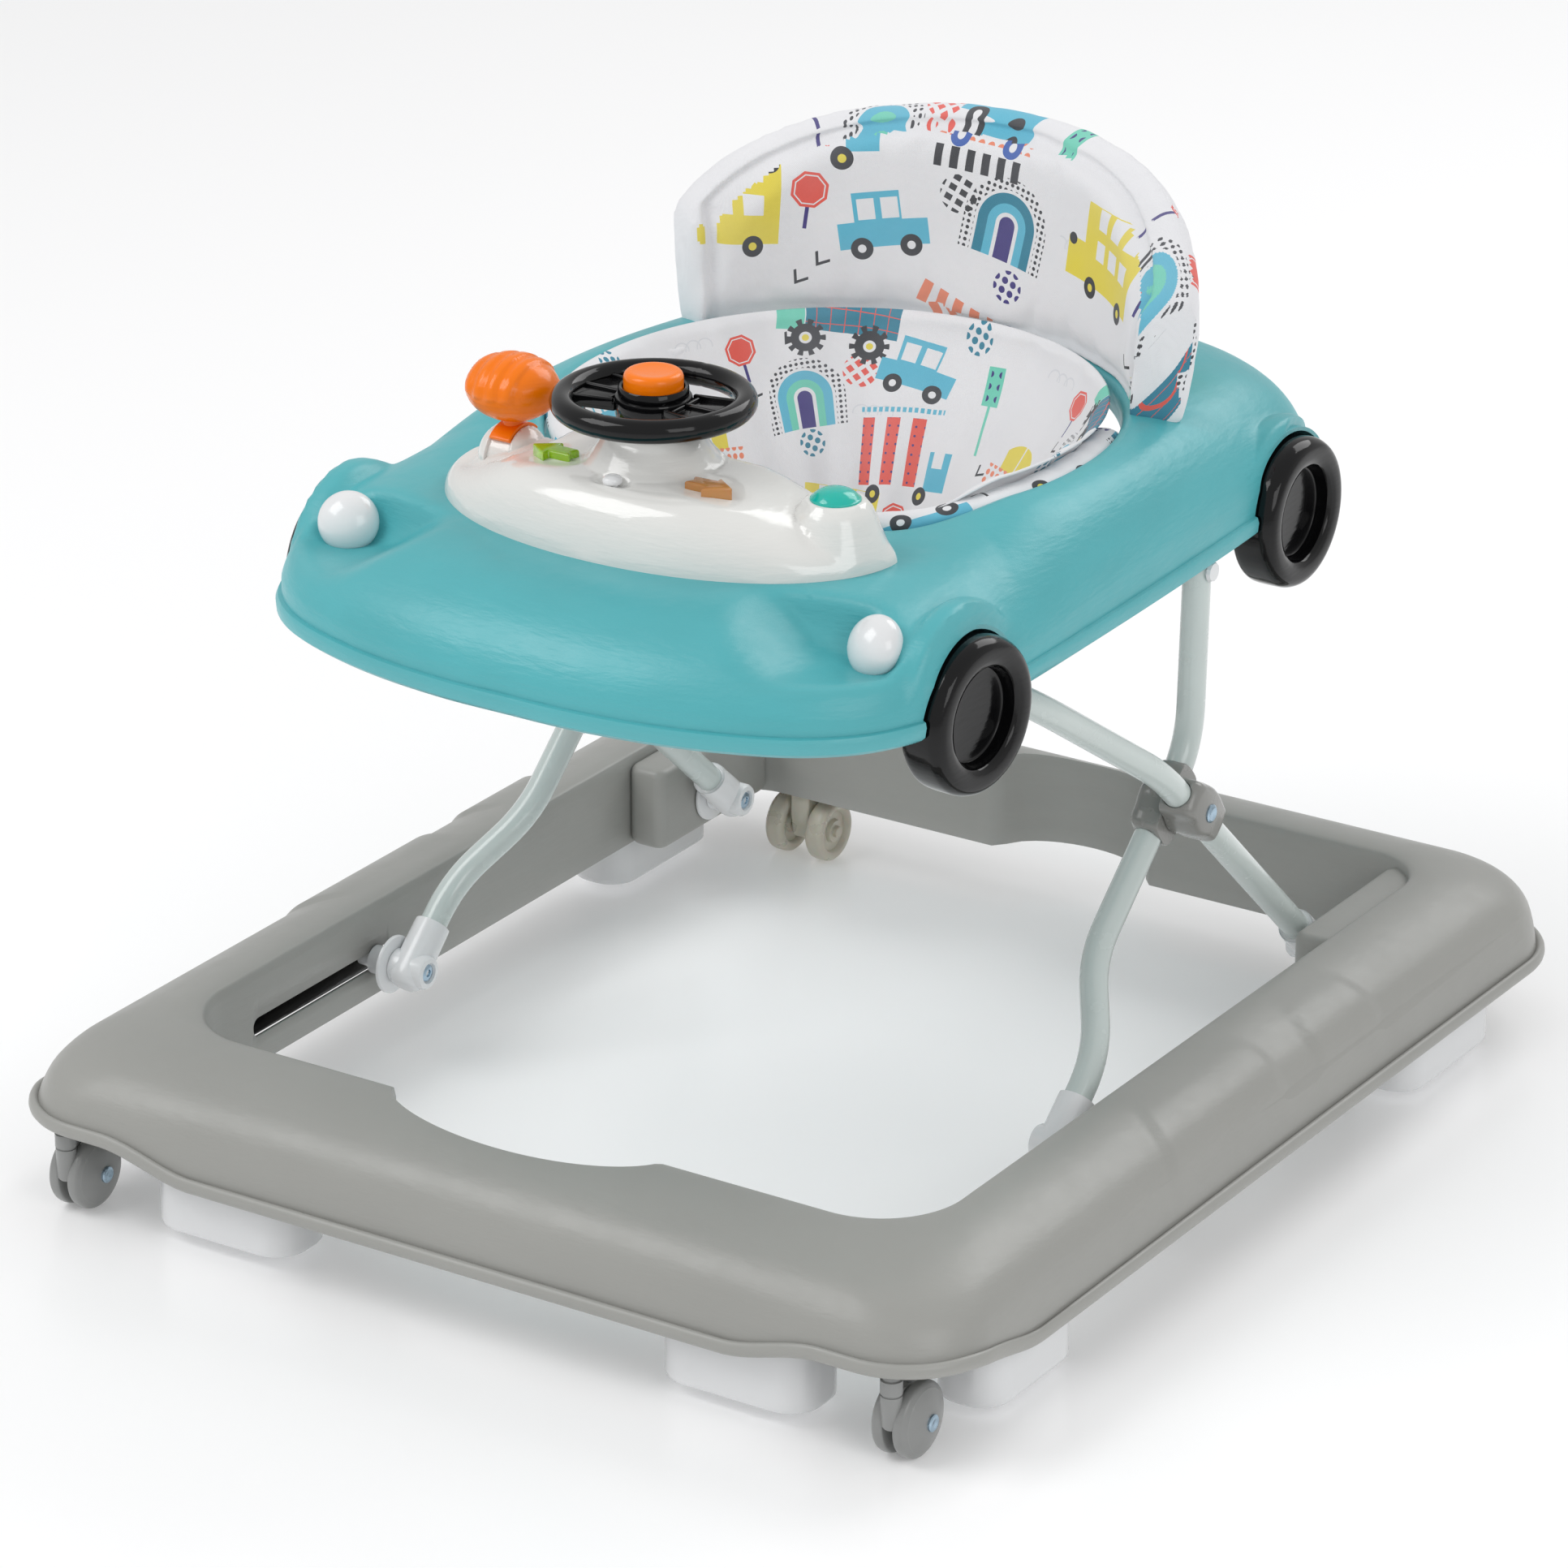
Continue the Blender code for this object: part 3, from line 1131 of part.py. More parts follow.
def joint_origins():
    """Point on the joint axis of each moving piece."""
    cross = (0, CROSS_Y, CROSS_Z)
    steering = (0, STEER_Y, STEER_Z)
    lever = (LEVER_X, LEVER_Y, LEVER_Z)
    origins = {"leg_frame_front": (0, REAR_PIVOT_Y, PIVOT_Z), "tray_shell": (0, TRAY_PIVOT_Y, TRAY_PIVOT_Z),
               "steering_wheel": steering, "horn_button": steering, "shift_lever": lever,
               "arrow_button_left": (-ARROW_X, ARROW_Y, 0.4385), "arrow_button_right": (ARROW_X, ARROW_Y, 0.4385),
               "dome_button": (DOME_X, DOME_Y, 0.4333), "slide_switch": (SWITCH_X, SWITCH_Y, 0.4370)}
    for side, sign in SIDES:
        hub = (sign * CASTOR_X, CASTOR_Y + CASTOR_TRAIL, CASTOR_RADIUS)
        origins["leg_rear_" + side] = cross
        origins["castor_fork_" + side] = (sign * CASTOR_X, CASTOR_Y, 0.0415)
        origins["castor_wheel_inner_" + side] = hub
        origins["castor_wheel_outer_" + side] = hub
        origins["castor_axle_" + side] = hub
        for place, way in (("inner", -sign), ("outer", sign)):
            middle = sign * REAR_AXLE_X + way * REAR_WHEEL_SPACING / 2
            origins["rear_wheel_%s_%s" % (place, side)] = (middle, REAR_AXLE_Y, REAR_WHEEL_RADIUS)
    return origins


def move_origins():
    """Put each moving piece's origin on its joint axis, with its shape left where it is."""
    for name, point in joint_origins().items():
        item = bpy.data.objects[name]
        item.data.transform(Matrix.Translation(-Vector(point)))
        item.location = point


def main():
    clear_scene()
    build_base()
    build_feet()
    build_front_castors()
    build_rear_castors()
    build_legs()
    build_leg_fittings()
    build_tray()
    build_lamps()
    build_car_wheels()
    build_height_adjuster()
    build_tray_brackets()
    build_console()
    build_console_buttons()
    build_steering()
    build_shift_lever()
    build_cushion()
    build_board()
    build_roll()
    build_sling()
    move_origins()


main()
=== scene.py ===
"""Looks of the baby walker: finer pieces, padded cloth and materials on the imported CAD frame.

Metres, +Z up. The front faces -Y, +X is the walker's right side, and z = 0 is the floor.
"""

import math

import bmesh
import bpy
from mathutils import Matrix, Vector, noise


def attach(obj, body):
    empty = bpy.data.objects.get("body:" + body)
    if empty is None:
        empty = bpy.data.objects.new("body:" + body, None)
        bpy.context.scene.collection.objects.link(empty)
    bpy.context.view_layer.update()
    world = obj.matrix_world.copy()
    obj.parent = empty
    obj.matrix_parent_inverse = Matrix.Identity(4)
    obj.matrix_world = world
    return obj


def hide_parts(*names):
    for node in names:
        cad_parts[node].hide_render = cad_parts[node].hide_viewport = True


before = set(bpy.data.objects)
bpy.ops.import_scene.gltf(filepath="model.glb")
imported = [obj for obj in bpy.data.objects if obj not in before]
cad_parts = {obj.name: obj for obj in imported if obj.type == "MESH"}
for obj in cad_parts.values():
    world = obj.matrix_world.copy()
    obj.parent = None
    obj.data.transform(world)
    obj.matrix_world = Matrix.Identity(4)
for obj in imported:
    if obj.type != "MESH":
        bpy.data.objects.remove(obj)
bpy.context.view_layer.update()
SIDES = (("left", -1), ("right", 1))

# Base ring
BASE_HALF = (0.305, 0.3575)
BASE_BOTTOM = 0.043
BASE_TOP = 0.1005
BASE_WALL = 0.003
WELL_HALF_WIDTH = 0.239
WELL_FRONT = -0.28
WELL_REAR = 0.288
NOTCH = (0.086, 0.03)
SCOOP = (0.05, 0.03)
CASTOR_SPOT = (0.266, -0.341)
REAR_CASTOR = (0.1947, 0.303, 0.019)
BASE_SHAPE = ((0.0, 0.955), (0.015, 0.98), (0.05, 0.994), (0.16, 1.0), (0.34, 0.982), (0.52, 0.945),
              (0.72, 0.875), (0.86, 0.775), (0.93, 0.68), (1.0, 0.56))
FEET = {"foot_front_": (0.118, 0.212, -0.341, -0.293, 0.02),
        "foot_side_front_": (0.249, 0.291, -0.281, -0.192, 0.018),
        "foot_side_rear_": (0.249, 0.291, 0.176, 0.281, 0.018)}
FLUTES = ((-0.08, -0.107), (0.021, 0.019), (0.076, 0.056), (0.124, 0.127))

# Legs
TUBE_RADIUS = 0.008
PIVOT = (0.222, 0.065)
SLIDER = (-0.089, 0.065)
CROSS = (0.0665, 0.2055)
TRAY_PIVOT = (0.098, 0.333)
CLAMP_SPLIT_X = 0.196
CLAMP_OUTLINE = ((-0.022, -0.008), (-0.013, -0.0125), (0.0, -0.015), (0.013, -0.0125), (0.022, -0.008),
                 (0.0215, 0.009), (0.012, 0.012), (0.0, 0.015), (-0.012, 0.012), (-0.0215, 0.009))
CLAMP_CROWN = ((0.0, 0.97), (0.05, 1.0), (0.45, 1.0), (0.7, 0.98), (0.85, 0.93), (0.95, 0.84), (1.0, 0.72))

# Tray
RIM_Z = 0.342
DECK_Z = 0.398
ROUNDING = 0.08
SEAT_Y = 0.02
SEAT_RADIUS = 0.168
SEAT_HALF_WIDTH = 0.158
SEAT_FRONT_REACH = 0.142
WHEEL_Z = 0.34
WHEEL_RADIUS = 0.043
WHEEL_WIDTH = 0.0275
WHEEL_Y = {"front": -0.166, "rear": 0.189}
WHEEL_FACE_X = {"front": 0.213, "rear": 0.2065}
WHEEL_TOE = {"front": math.radians(5), "rear": 0.0}
FENDER_EDGE_X = {"front": 0.1997, "rear": 0.1935}
FENDER_RADIUS = 0.049
FENDER_LIFT = {"front": 0.008, "rear": 0.001}
WELL_RADIUS = 0.045
LAMP = (0.1667, -0.2028, 0.3825)
LAMP_RADIUS = 0.0168
LAMP_BULGE = 0.0125
LAMP_LOOK = (0.36, -0.83, 0.42)
DISH_REACH = 0.08

# Console
CONSOLE_Y = -0.136
CONSOLE_HALF = 0.1375
CONSOLE_REACH = (0.085, 0.019)
CONSOLE_HEIGHT = 0.038
STEER = (0.0, -0.157, 0.47)
STEER_RADIUS = 0.0485
STEER_TUBE = 0.0065
LEVER = (-0.097, -0.147, 0.417)
LEVER_HOUSING = 0.0192
KNOB_HALF = (0.0264, 0.024, 0.0176)
KNOB_RISE = 0.0388
DOME = (0.107, -0.147)
ARROW = (0.049, -0.178)
SWITCH = (0.001, -0.1975)

# Seat
CUSHION_INNER = 0.152
CUSHION_OUTER = 0.191
CUSHION_LOW = 0.406
CUSHION_TOP = 0.5395
CUSHION_END = math.radians(62)
CUSHION_LEAN = 0.013
SLING_BOTTOM = 0.272
LEG_HOLE_RADIUS = 0.048

# Camera, in front, to the walker's right and a little above
LENS = 160.0
SENSOR = 36.0
CAMERA_SPOT = (1.9204, -3.0261, 1.6973)
CAMERA_RIGHT = (0.841368, 0.540456, 0.002688)
CAMERA_UP = (-0.210819, 0.323611, 0.922405)
CAMERA_BACK = (0.497649, -0.776649, 0.386214)


# ---------------------------------------------------------------- small tools

def smooth_step(value):
    """Blend from 0 to 1 with flat ends."""
    value = min(1.0, max(0.0, value))
    return value * value * (3 - 2 * value)


def bell(distance, width):
    """1 at no distance, falling smoothly to about 0 past the width."""
    return math.exp(-(distance / width) ** 2)


def through(knots, value):
    """Smooth interpolation in a list of (value, result)."""
    last = len(knots) - 1
    for i in range(last):
        if value <= knots[i + 1][0] or i == last - 1:
            low, high = knots[i], knots[i + 1]
            before, after = knots[max(0, i - 1)], knots[min(last, i + 2)]
            width = high[0] - low[0]
            t = min(1.0, max(0.0, (value - low[0]) / width))
            start = (high[1] - before[1]) / (high[0] - before[0]) * width
            end = (after[1] - low[1]) / (after[0] - low[0]) * width
            return ((2 * t ** 3 - 3 * t ** 2 + 1) * low[1] + (t ** 3 - 2 * t ** 2 + t) * start
                    + (3 * t ** 2 - 2 * t ** 3) * high[1] + (t ** 3 - t ** 2) * end)
    return knots[-1][1]


def curve_through(points, steps, closed=False):
    """Catmull-Rom curve through the points, as a list of Vectors."""
    points = [Vector(point) for point in points]
    count = len(points)
    result = []
    for i in range(count if closed else count - 1):
        if closed:
            p0, p1, p2, p3 = (points[(i + k) % count] for k in (-1, 0, 1, 2))
        else:
            p0, p1, p2, p3 = (points[min(count - 1, max(0, i + k))] for k in (-1, 0, 1, 2))
        for step in range(steps):
            t = step / steps
            result.append(0.5 * (2 * p1 + (p2 - p0) * t + (2 * p0 - 5 * p1 + 4 * p2 - p3) * t ** 2
                                 + (3 * p1 - p0 - 3 * p2 + p3) * t ** 3))
    if not closed:
        result.append(points[-1])
    return result


def mesh_piece(name, bm, material, sharp=40, outward=True):
    """Object from a bmesh in a named material, smooth except where faces meet past the sharp angle."""
    if outward:
        bmesh.ops.recalc_face_normals(bm, faces=bm.faces)
        if bm.calc_volume(signed=True) < 0:
            bmesh.ops.reverse_faces(bm, faces=bm.faces)
    mesh = bpy.data.meshes.new(name)
    bm.to_mesh(mesh)
    bm.free()
    mesh.materials.append(MATERIALS[material])
    mesh.shade_smooth()
    mesh.set_sharp_from_angle(angle=math.radians(sharp))
    item = bpy.data.objects.new(name, mesh)
    bpy.context.scene.collection.objects.link(item)
    return item


def skin(bm, rows, closed=True, wrap=False, caps=False):
    """Quads between rows of points. Closed rows are loops; wrap joins the last row to the first."""
    made = [[bm.verts.new(point) for point in row] for row in rows]
    pairs = list(zip(made, made[1:]))
    if wrap:
        pairs.append((made[-1], made[0]))
    count = len(made[0])
    for low, high in pairs:
        for i in range(count if closed else count - 1):
            j = (i + 1) % count
            bm.faces.new((low[i], low[j], high[j], high[i]))
    if caps:
        bm.faces.new(made[0][::-1])
        bm.faces.new(made[-1])
    return made


def loft(name, rows, material, sharp=40, outward=True, **ends):
    """Piece through a list of point rows."""
    bm = bmesh.new()
    skin(bm, rows, **ends)
    return mesh_piece(name, bm, material, sharp, outward)


def heading(angle):
    """Level unit vector at an angle from +X."""
    return Vector((math.cos(angle), math.sin(angle), 0))


def circle(centre, across, up, radius, count):
    """Points of a circle in the plane of two unit vectors."""
    points = []
    for i in range(count):
        angle = 2 * math.pi * i / count
        points.append(Vector(centre) + radius * (math.cos(angle) * across + math.sin(angle) * up))
    return points


def turned(name, centre, axis, profile, material, count=48, smooth=0, sharp=40):
    """Round piece about an axis through centre, from a list of (distance along, radius)."""
    if smooth:
        profile = [(p.x, p.y) for p in curve_through([(a, r, 0) for a, r in profile], smooth)]
    axis = Vector(axis).normalized()
    guide = Vector((1, 0, 0)) if abs(axis.z) > 0.9 else Vector((0, 0, 1))
    across = (guide - axis * axis.dot(guide)).normalized()
    up = axis.cross(across)
    rows = [circle(Vector(centre) + axis * along, across, up, max(radius, 0.0001), count)
            for along, radius in profile]
    return loft(name, rows, material, sharp, caps=True)


def apply_modifier(item, kind, **settings):
    """Add a modifier, and keep only its result."""
    modifier = item.modifiers.new(kind.lower(), kind)
    for key, value in settings.items():
        setattr(modifier, key, value)
    bpy.context.view_layer.update()
    evaluated = item.evaluated_get(bpy.context.evaluated_depsgraph_get())
    mesh = bpy.data.meshes.new_from_object(evaluated)
    item.modifiers.clear()
    item.data = mesh


def cut(item, tool, operation="DIFFERENCE"):
    """Boolean with a tool, which is then removed."""
    apply_modifier(item, "BOOLEAN", operation=operation, solver="EXACT", object=tool)
    bpy.data.objects.remove(tool)


def join(pieces, name):
    """Several pieces as one object."""
    bm = bmesh.new()
    materials = []
    for piece in pieces:
        for material in piece.data.materials:
            if material not in materials:
                materials.append(material)
    for piece in pieces:
        start = len(bm.faces)
        bm.from_mesh(piece.data)
        bm.faces.ensure_lookup_table()
        for face in bm.faces[start:]:
            face.material_index = materials.index(piece.data.materials[face.material_index])
    mesh = bpy.data.meshes.new(name)
    bm.to_mesh(mesh)
    bm.free()
    for material in materials:
        mesh.materials.append(material)
    for piece in pieces:
        bpy.data.objects.remove(piece)
    item = bpy.data.objects.new(name, mesh)
    bpy.context.scene.collection.objects.link(item)
    return item


def place(item, body, slot, *nodes):
    """Set a piece on its CAD body and hide the CAD nodes that it stands for; its finish slot is not used."""
    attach(item, body)
    if nodes:
        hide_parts(*nodes)
    return item


def arc(x, y, radius, start, end, steps):
    """Points of an arc round (x, y) from one angle to another in degrees, with both ends."""
    angles = [math.radians(start + (end - start) * step / steps) for step in range(steps + 1)]
    return [(x + radius * math.cos(angle), y + radius * math.sin(angle)) for angle in angles]


def rounded_outline(low, high, radius, steps=8):
    """Rectangle with round corners, counter-clockwise."""
    points = []
    for x, y, start in ((high[0], low[1], -90), (*high, 0), (low[0], high[1], 90), (*low, 180)):
        centre_x = x - math.copysign(radius, x - (low[0] + high[0]) / 2)
        centre_y = y - math.copysign(radius, y - (low[1] + high[1]) / 2)
        points += arc(centre_x, centre_y, radius, start, start + 90, steps)
    return points


def prism(name, outline, axis, ends, material):
    """Outline pushed along X or Z from one end to the other."""
    if axis == "X":
        rows = [[(end, a, b) for a, b in outline] for end in sorted(ends)]
    else:
        rows = [[(a, b, end) for a, b in outline] for end in sorted(ends)]
    return loft(name, rows, material, caps=True)


def bevelled_prism(name, outline, axis, ends, bevel, material):
    """Prism with rounded edges."""
    item = prism(name, outline, axis, ends, material)
    apply_modifier(item, "BEVEL", width=bevel, segments=3, limit_method="ANGLE", angle_limit=math.radians(40))
    item.data.shade_smooth()
    item.data.set_sharp_from_angle(angle=math.radians(50))
    return item


# ---------------------------------------------------------------- materials

class Graph:
    """Builds one node material."""

    def __init__(self, name):
        self.material = bpy.data.materials.new(name)
        self.material.use_nodes = True
        self.tree = self.material.node_tree
        self.shader = self.tree.nodes["Principled BSDF"]
        self.place = self.node("TexCoord", output="Object")

    def put(self, socket, value):
        """Link a socket, or set its constant."""
        if isinstance(value, bpy.types.NodeSocket):
            self.tree.links.new(value, socket)
        else:
            socket.default_value = value

    def node(self, kind, inputs=(), output=0, **settings):
        """New node with its inputs filled in; gives back one of its outputs."""
        made = self.tree.nodes.new("ShaderNode" + kind)
        for key, value in settings.items():
            setattr(made, key, value)
        for key, value in dict(inputs).items():
            self.put(made.inputs[key], value)
        return made.outputs[output]

    def math(self, operation, *values):
        return self.node("Math", enumerate(values), operation=operation)

    def vector(self, operation, *values, output=0):
        return self.node("VectorMath", enumerate(values), output, operation=operation)

    def split(self, value):
        """X and Y of a vector."""
        return [self.node("SeparateXYZ", {0: value}, k) for k in (0, 1)]

    def noise(self, scale, detail=3.0, where=None):
        inputs = {"Vector": where or self.place, "Scale": scale, "Detail": detail}
        return self.node("TexNoise", inputs)

    def spread(self, value, low, high, start=0.3, end=0.7):
        """Value from start..end mapped to low..high."""
        return self.node("MapRange", {0: value, 1: start, 2: end, 3: low, 4: high})

    def mix(self, share, first, second):
        inputs = {0: share, 6: first, 7: second}
        return self.node("Mix", inputs, 2, data_type="RGBA")

    def bump(self, height, distance, strength=1.0, normal=None):
        inputs = {"Height": height, "Distance": distance, "Strength": strength}
        if normal is not None:
            inputs["Normal"] = normal
        return self.node("Bump", inputs)

    def set(self, **inputs):
        for key, value in inputs.items():
            self.put(self.shader.inputs[key.replace("_", " ")], value)


def shade(colour, factor):
    """Colour made darker or lighter, with alpha."""
    return (*[min(1.0, part * factor) for part in colour], 1.0)


def plastic(name, colour, roughness, grain=0.00004, flow=0.0, coat=0.0, variation=0.05, clear=0.0, wear=0.15,
            shine=0.5):
    """Moulded plastic: faint colour flow, a fine moulding texture, handling marks and softly worn edges."""
    graph = Graph(name)
    drift = graph.noise(9.0, 4.0)
    stretched = graph.vector("MULTIPLY", graph.place, (3.0, 3.0, 14.0))
    streaks = graph.noise(5.0, 3.0, stretched)
    speck = graph.noise(1500.0, 2.0)
    tone = graph.math("ADD", graph.math("MULTIPLY", drift, 0.6), graph.math("MULTIPLY", streaks, 0.4))
    share = graph.spread(tone, 0.0, 1.0, 0.35, 0.65)
    base = graph.mix(share, shade(colour, 1 - variation), shade(colour, 1 + variation))
    edge = graph.spread(graph.node("NewGeometry", output="Pointiness"), 0.0, 0.35, 0.52, 0.6)
    base = graph.mix(edge, base, shade([part + (1 - part) * wear for part in colour], 1.0))
    marks = graph.noise(60.0, 6.0)
    rough = graph.math("ADD", roughness - 0.04, graph.spread(marks, 0.0, 0.08))
    normal = graph.bump(speck, grain)
    if flow:
        normal = graph.bump(graph.noise(26.0, 2.0, stretched), flow, 1.0, normal)
    graph.set(Base_Color=base, Roughness=rough, Normal=normal, Coat_Weight=coat, Coat_Roughness=0.06)
    graph.set(Specular_IOR_Level=shine)
    if clear:
        graph.set(Transmission_Weight=clear, IOR=1.49)
        graph.set(Subsurface_Weight=0.25, Subsurface_Scale=0.004)
    return graph.material


def steel(name, colour):
    """Plated steel with turning marks."""
    graph = Graph(name)
    rings = graph.noise(900.0, 2.0)
    rough = graph.spread(graph.noise(200.0), 0.18, 0.38)
    base = graph.mix(graph.noise(120.0), shade(colour, 0.8), shade(colour, 1.15))
    graph.set(Base_Color=base, Metallic=1.0, Roughness=rough, Normal=graph.bump(rings, 0.00004))
    return graph.material


def painted(name, colour):
    """Enamelled tube: glossy paint with a slight orange-peel texture and rubbed patches."""
    graph = Graph(name)
    peel = graph.noise(420.0, 2.0)
    drift = graph.noise(16.0, 3.0)
    base = graph.mix(drift, shade(colour, 0.94), shade(colour, 1.04))
    rough = graph.spread(graph.noise(90.0, 5.0), 0.16, 0.3)
    graph.set(Base_Color=base, Roughness=rough, Normal=graph.bump(peel, 0.00006), Coat_Weight=0.5,
              Coat_Roughness=0.08)
    return graph.material


class Print(Graph):
    """Cloth with a printed repeat of plain shapes, laid out in metres on the cloth's own flat map."""

    def __init__(self, name, tile):
        super().__init__(name)
        flat_map = self.node("UVMap", uv_map="cloth")
        self.cloth = self.vector("MULTIPLY", flat_map, (PRINT_SCALE, PRINT_SCALE, 1.0))
        row = self.math("FLOOR", self.math("DIVIDE", self.split(self.cloth)[1], tile[1]))
        shift = self.node("CombineXYZ", {0: self.math("MULTIPLY", row, tile[0] * ROW_SHIFT)})
        moved = self.vector("ADD", self.cloth, shift)
        self.spot = self.vector("WRAP", moved, (tile[0], tile[1], 1.0), (0.0, 0.0, -1.0))
        self.colour = (*WHITE, 1.0)

    def begin(self, x, y, turn=0.0):
        """Start a motif at a place in the repeat, turned by some degrees."""
        moved = self.vector("SUBTRACT", self.spot, (x * PRINT_PACKING, y * PRINT_PACKING, 0.0))
        self.local = self.node("VectorRotate", {"Vector": moved, "Angle": math.radians(turn)})
        self.parts = self.split(self.local)

    def less(self, value, limit):
        return self.math("LESS_THAN", value, limit)

    def near(self, x, y, radius):
        """Mask of a disc."""
        return self.less(self.vector("DISTANCE", self.local, (x, y, 0.0), output=1), radius)

    def inside(self, x, y, half_x, half_y):
        """Mask of a box."""
        away = self.vector("ABSOLUTE", self.vector("SUBTRACT", self.local, (x, y, 0.0)))
        across, up = self.split(self.vector("DIVIDE", away, (half_x, half_y, 1.0)))
        return self.less(self.math("MAXIMUM", across, up), 1.0)

    def stripes(self, pitch, share, direction=0):
        """Mask of bars across the motif."""
        return self.less(self.math("FRACT", self.math("DIVIDE", self.parts[direction], pitch)), share)

    def dots(self, pitch, radius):
        """Mask of a grid of dots over the motif."""
        cell = self.vector("WRAP", self.local, (pitch, pitch, 1.0), (0.0, 0.0, -1.0))
        return self.less(self.vector("DISTANCE", cell, (pitch / 2, pitch / 2, 0.0), output=1), radius)

    def fill(self, colour, *masks):
        """Ink in one colour where every mask holds."""
        mask = masks[0]
        for other in masks[1:]:
            mask = self.math("MULTIPLY", mask, other)
        self.colour = self.mix(mask, self.colour, (*colour, 1.0))

    def disc(self, x, y, radius, colour):
        self.fill(colour, self.near(x, y, radius))

    def box(self, x, y, half_x, half_y, colour):
        self.fill(colour, self.inside(x, y, half_x, half_y))


YELLOW = (0.84, 0.7, 0.06)
SKY = (0.1, 0.5, 0.68)
TEAL = (0.01, 0.22, 0.33)
CORAL = (0.85, 0.09, 0.055)
MINT = (0.16, 0.66, 0.5)
NAVY = (0.035, 0.02, 0.2)
COAL = (0.022, 0.024, 0.028)
PEACH = (0.88, 0.26, 0.14)
WHITE = (0.86, 0.86, 0.88)
MIST = (0.76, 0.77, 0.8)
BLUE = (0.04, 0.12, 0.45)
PRINT_SCALE = 0.82
PRINT_PACKING = 0.84
PRINT_TILE = (0.25 * PRINT_PACKING, 0.215 * PRINT_PACKING)
ROW_SHIFT = 0.41
THREAD_PITCH = 0.00085


def wheel_pair(cloth, first, second, y, radius, rim=COAL, middle=YELLOW):
    """Two plain wheels with a small centre."""
    for x in (first, second):
        cloth.disc(x, y, radius, rim)
        cloth.disc(x, y, radius * 0.38, middle)


def print_van(cloth):
    """Long box van with two rows of windows."""
    cloth.box(0.004, 0.006, 0.026, 0.019, YELLOW)
    cloth.box(-0.025, -0.004, 0.009, 0.009, YELLOW)
    cloth.fill(WHITE, cloth.stripes(0.0135, 0.66), cloth.stripes(0.015, 0.64, 1),
               cloth.inside(0.0075, 0.015, 0.0195, 0.0145))
    cloth.box(0.004, -0.0085, 0.026, 0.0045, YELLOW)
    cloth.disc(-0.031, 0.004, 0.0028, COAL)
    wheel_pair(cloth, -0.014, 0.018, -0.014, 0.005)


def print_small_car(cloth):
    """Small car: a cabin and a long body."""
    cloth.box(-0.002, 0.009, 0.011, 0.008, SKY)
    cloth.box(-0.007, 0.009, 0.004, 0.005, WHITE)
    cloth.box(0.004, 0.009, 0.004, 0.005, WHITE)
    cloth.box(0.0, -0.003, 0.021, 0.0062, SKY)
    wheel_pair(cloth, -0.011, 0.012, -0.0095, 0.0052, COAL, WHITE)


def print_dotted_car(cloth):
    """Car with a round roof and a dotted body, over a row of bars."""
    cloth.fill(YELLOW, cloth.near(0.0, 0.003, 0.0165), cloth.inside(0.0, 0.012, 0.013, 0.01))
    cloth.box(0.0, 0.012, 0.0005, 0.008, WHITE)
    cloth.fill(PEACH, cloth.inside(0.0, -0.0045, 0.024, 0.0072), cloth.dots(0.0048, 0.0017))
    wheel_pair(cloth, -0.013, 0.013, -0.0105, 0.0048, BLUE, WHITE)
    cloth.fill(COAL, cloth.inside(0.0, -0.0205, 0.023, 0.005), cloth.stripes(0.0078, 0.52))


def print_lorry(cloth):
    """Lorry with a barred load and a cab."""
    bars = (cloth.inside(-0.008, 0.004, 0.021, 0.019), cloth.stripes(0.015, 0.52))
    cloth.fill(CORAL, *bars)
    cloth.fill(NAVY, *bars, cloth.dots(0.0052, 0.0007))
    cloth.fill(SKY, cloth.inside(-0.006, 0.0275, 0.024, 0.0014), cloth.stripes(0.0034, 0.62))
    cloth.box(0.0225, -0.006, 0.0075, 0.011, SKY)
    cloth.box(0.0215, 0.002, 0.0035, 0.006, WHITE)
    wheel_pair(cloth, -0.019, 0.013, -0.02, 0.0052)


def print_arch(cloth, outer, inner):
    """Nested arches inside a band of dots."""
    flat = cloth.node("CombineXYZ", {0: cloth.parts[0], 1: cloth.math("MAXIMUM", cloth.parts[1], 0.0)})
    away = cloth.vector("LENGTH", flat, output=1)
    above = cloth.math("GREATER_THAN", cloth.parts[1], -0.017)
    cloth.fill(COAL, cloth.less(away, 0.0225), above, cloth.dots(0.003, 0.0009))
    bands = ((0.017, WHITE), (0.0155, outer), (0.0105, inner), (0.0062, WHITE), (0.0042, NAVY))
    for radius, colour in bands:
        cloth.fill(colour, cloth.less(away, radius), above)


def print_sign(cloth):
    """Plain eight-sided sign on a stick."""
    cloth.box(0.0, -0.012, 0.0009, 0.0065, NAVY)
    across, up = cloth.split(cloth.vector("ABSOLUTE", cloth.local))
    corner = cloth.math("MULTIPLY", cloth.math("ADD", across, up), 0.7071)
    reach = cloth.math("MAXIMUM", cloth.math("MAXIMUM", across, up), corner)
    cloth.fill(CORAL, cloth.less(reach, 0.0083))
    cloth.fill(WHITE, cloth.less(reach, 0.007), cloth.math("GREATER_THAN", reach, 0.0064))


def print_post(cloth):
    """Mint plate with dots on a tall stick."""
    cloth.box(0.0, -0.01, 0.0008, 0.019, MINT)
    cloth.box(0.0, 0.01, 0.0048, 0.011, MINT)
    cloth.fill(NAVY, cloth.inside(0.0, 0.01, 0.003, 0.0104), cloth.dots(0.0068, 0.0019))


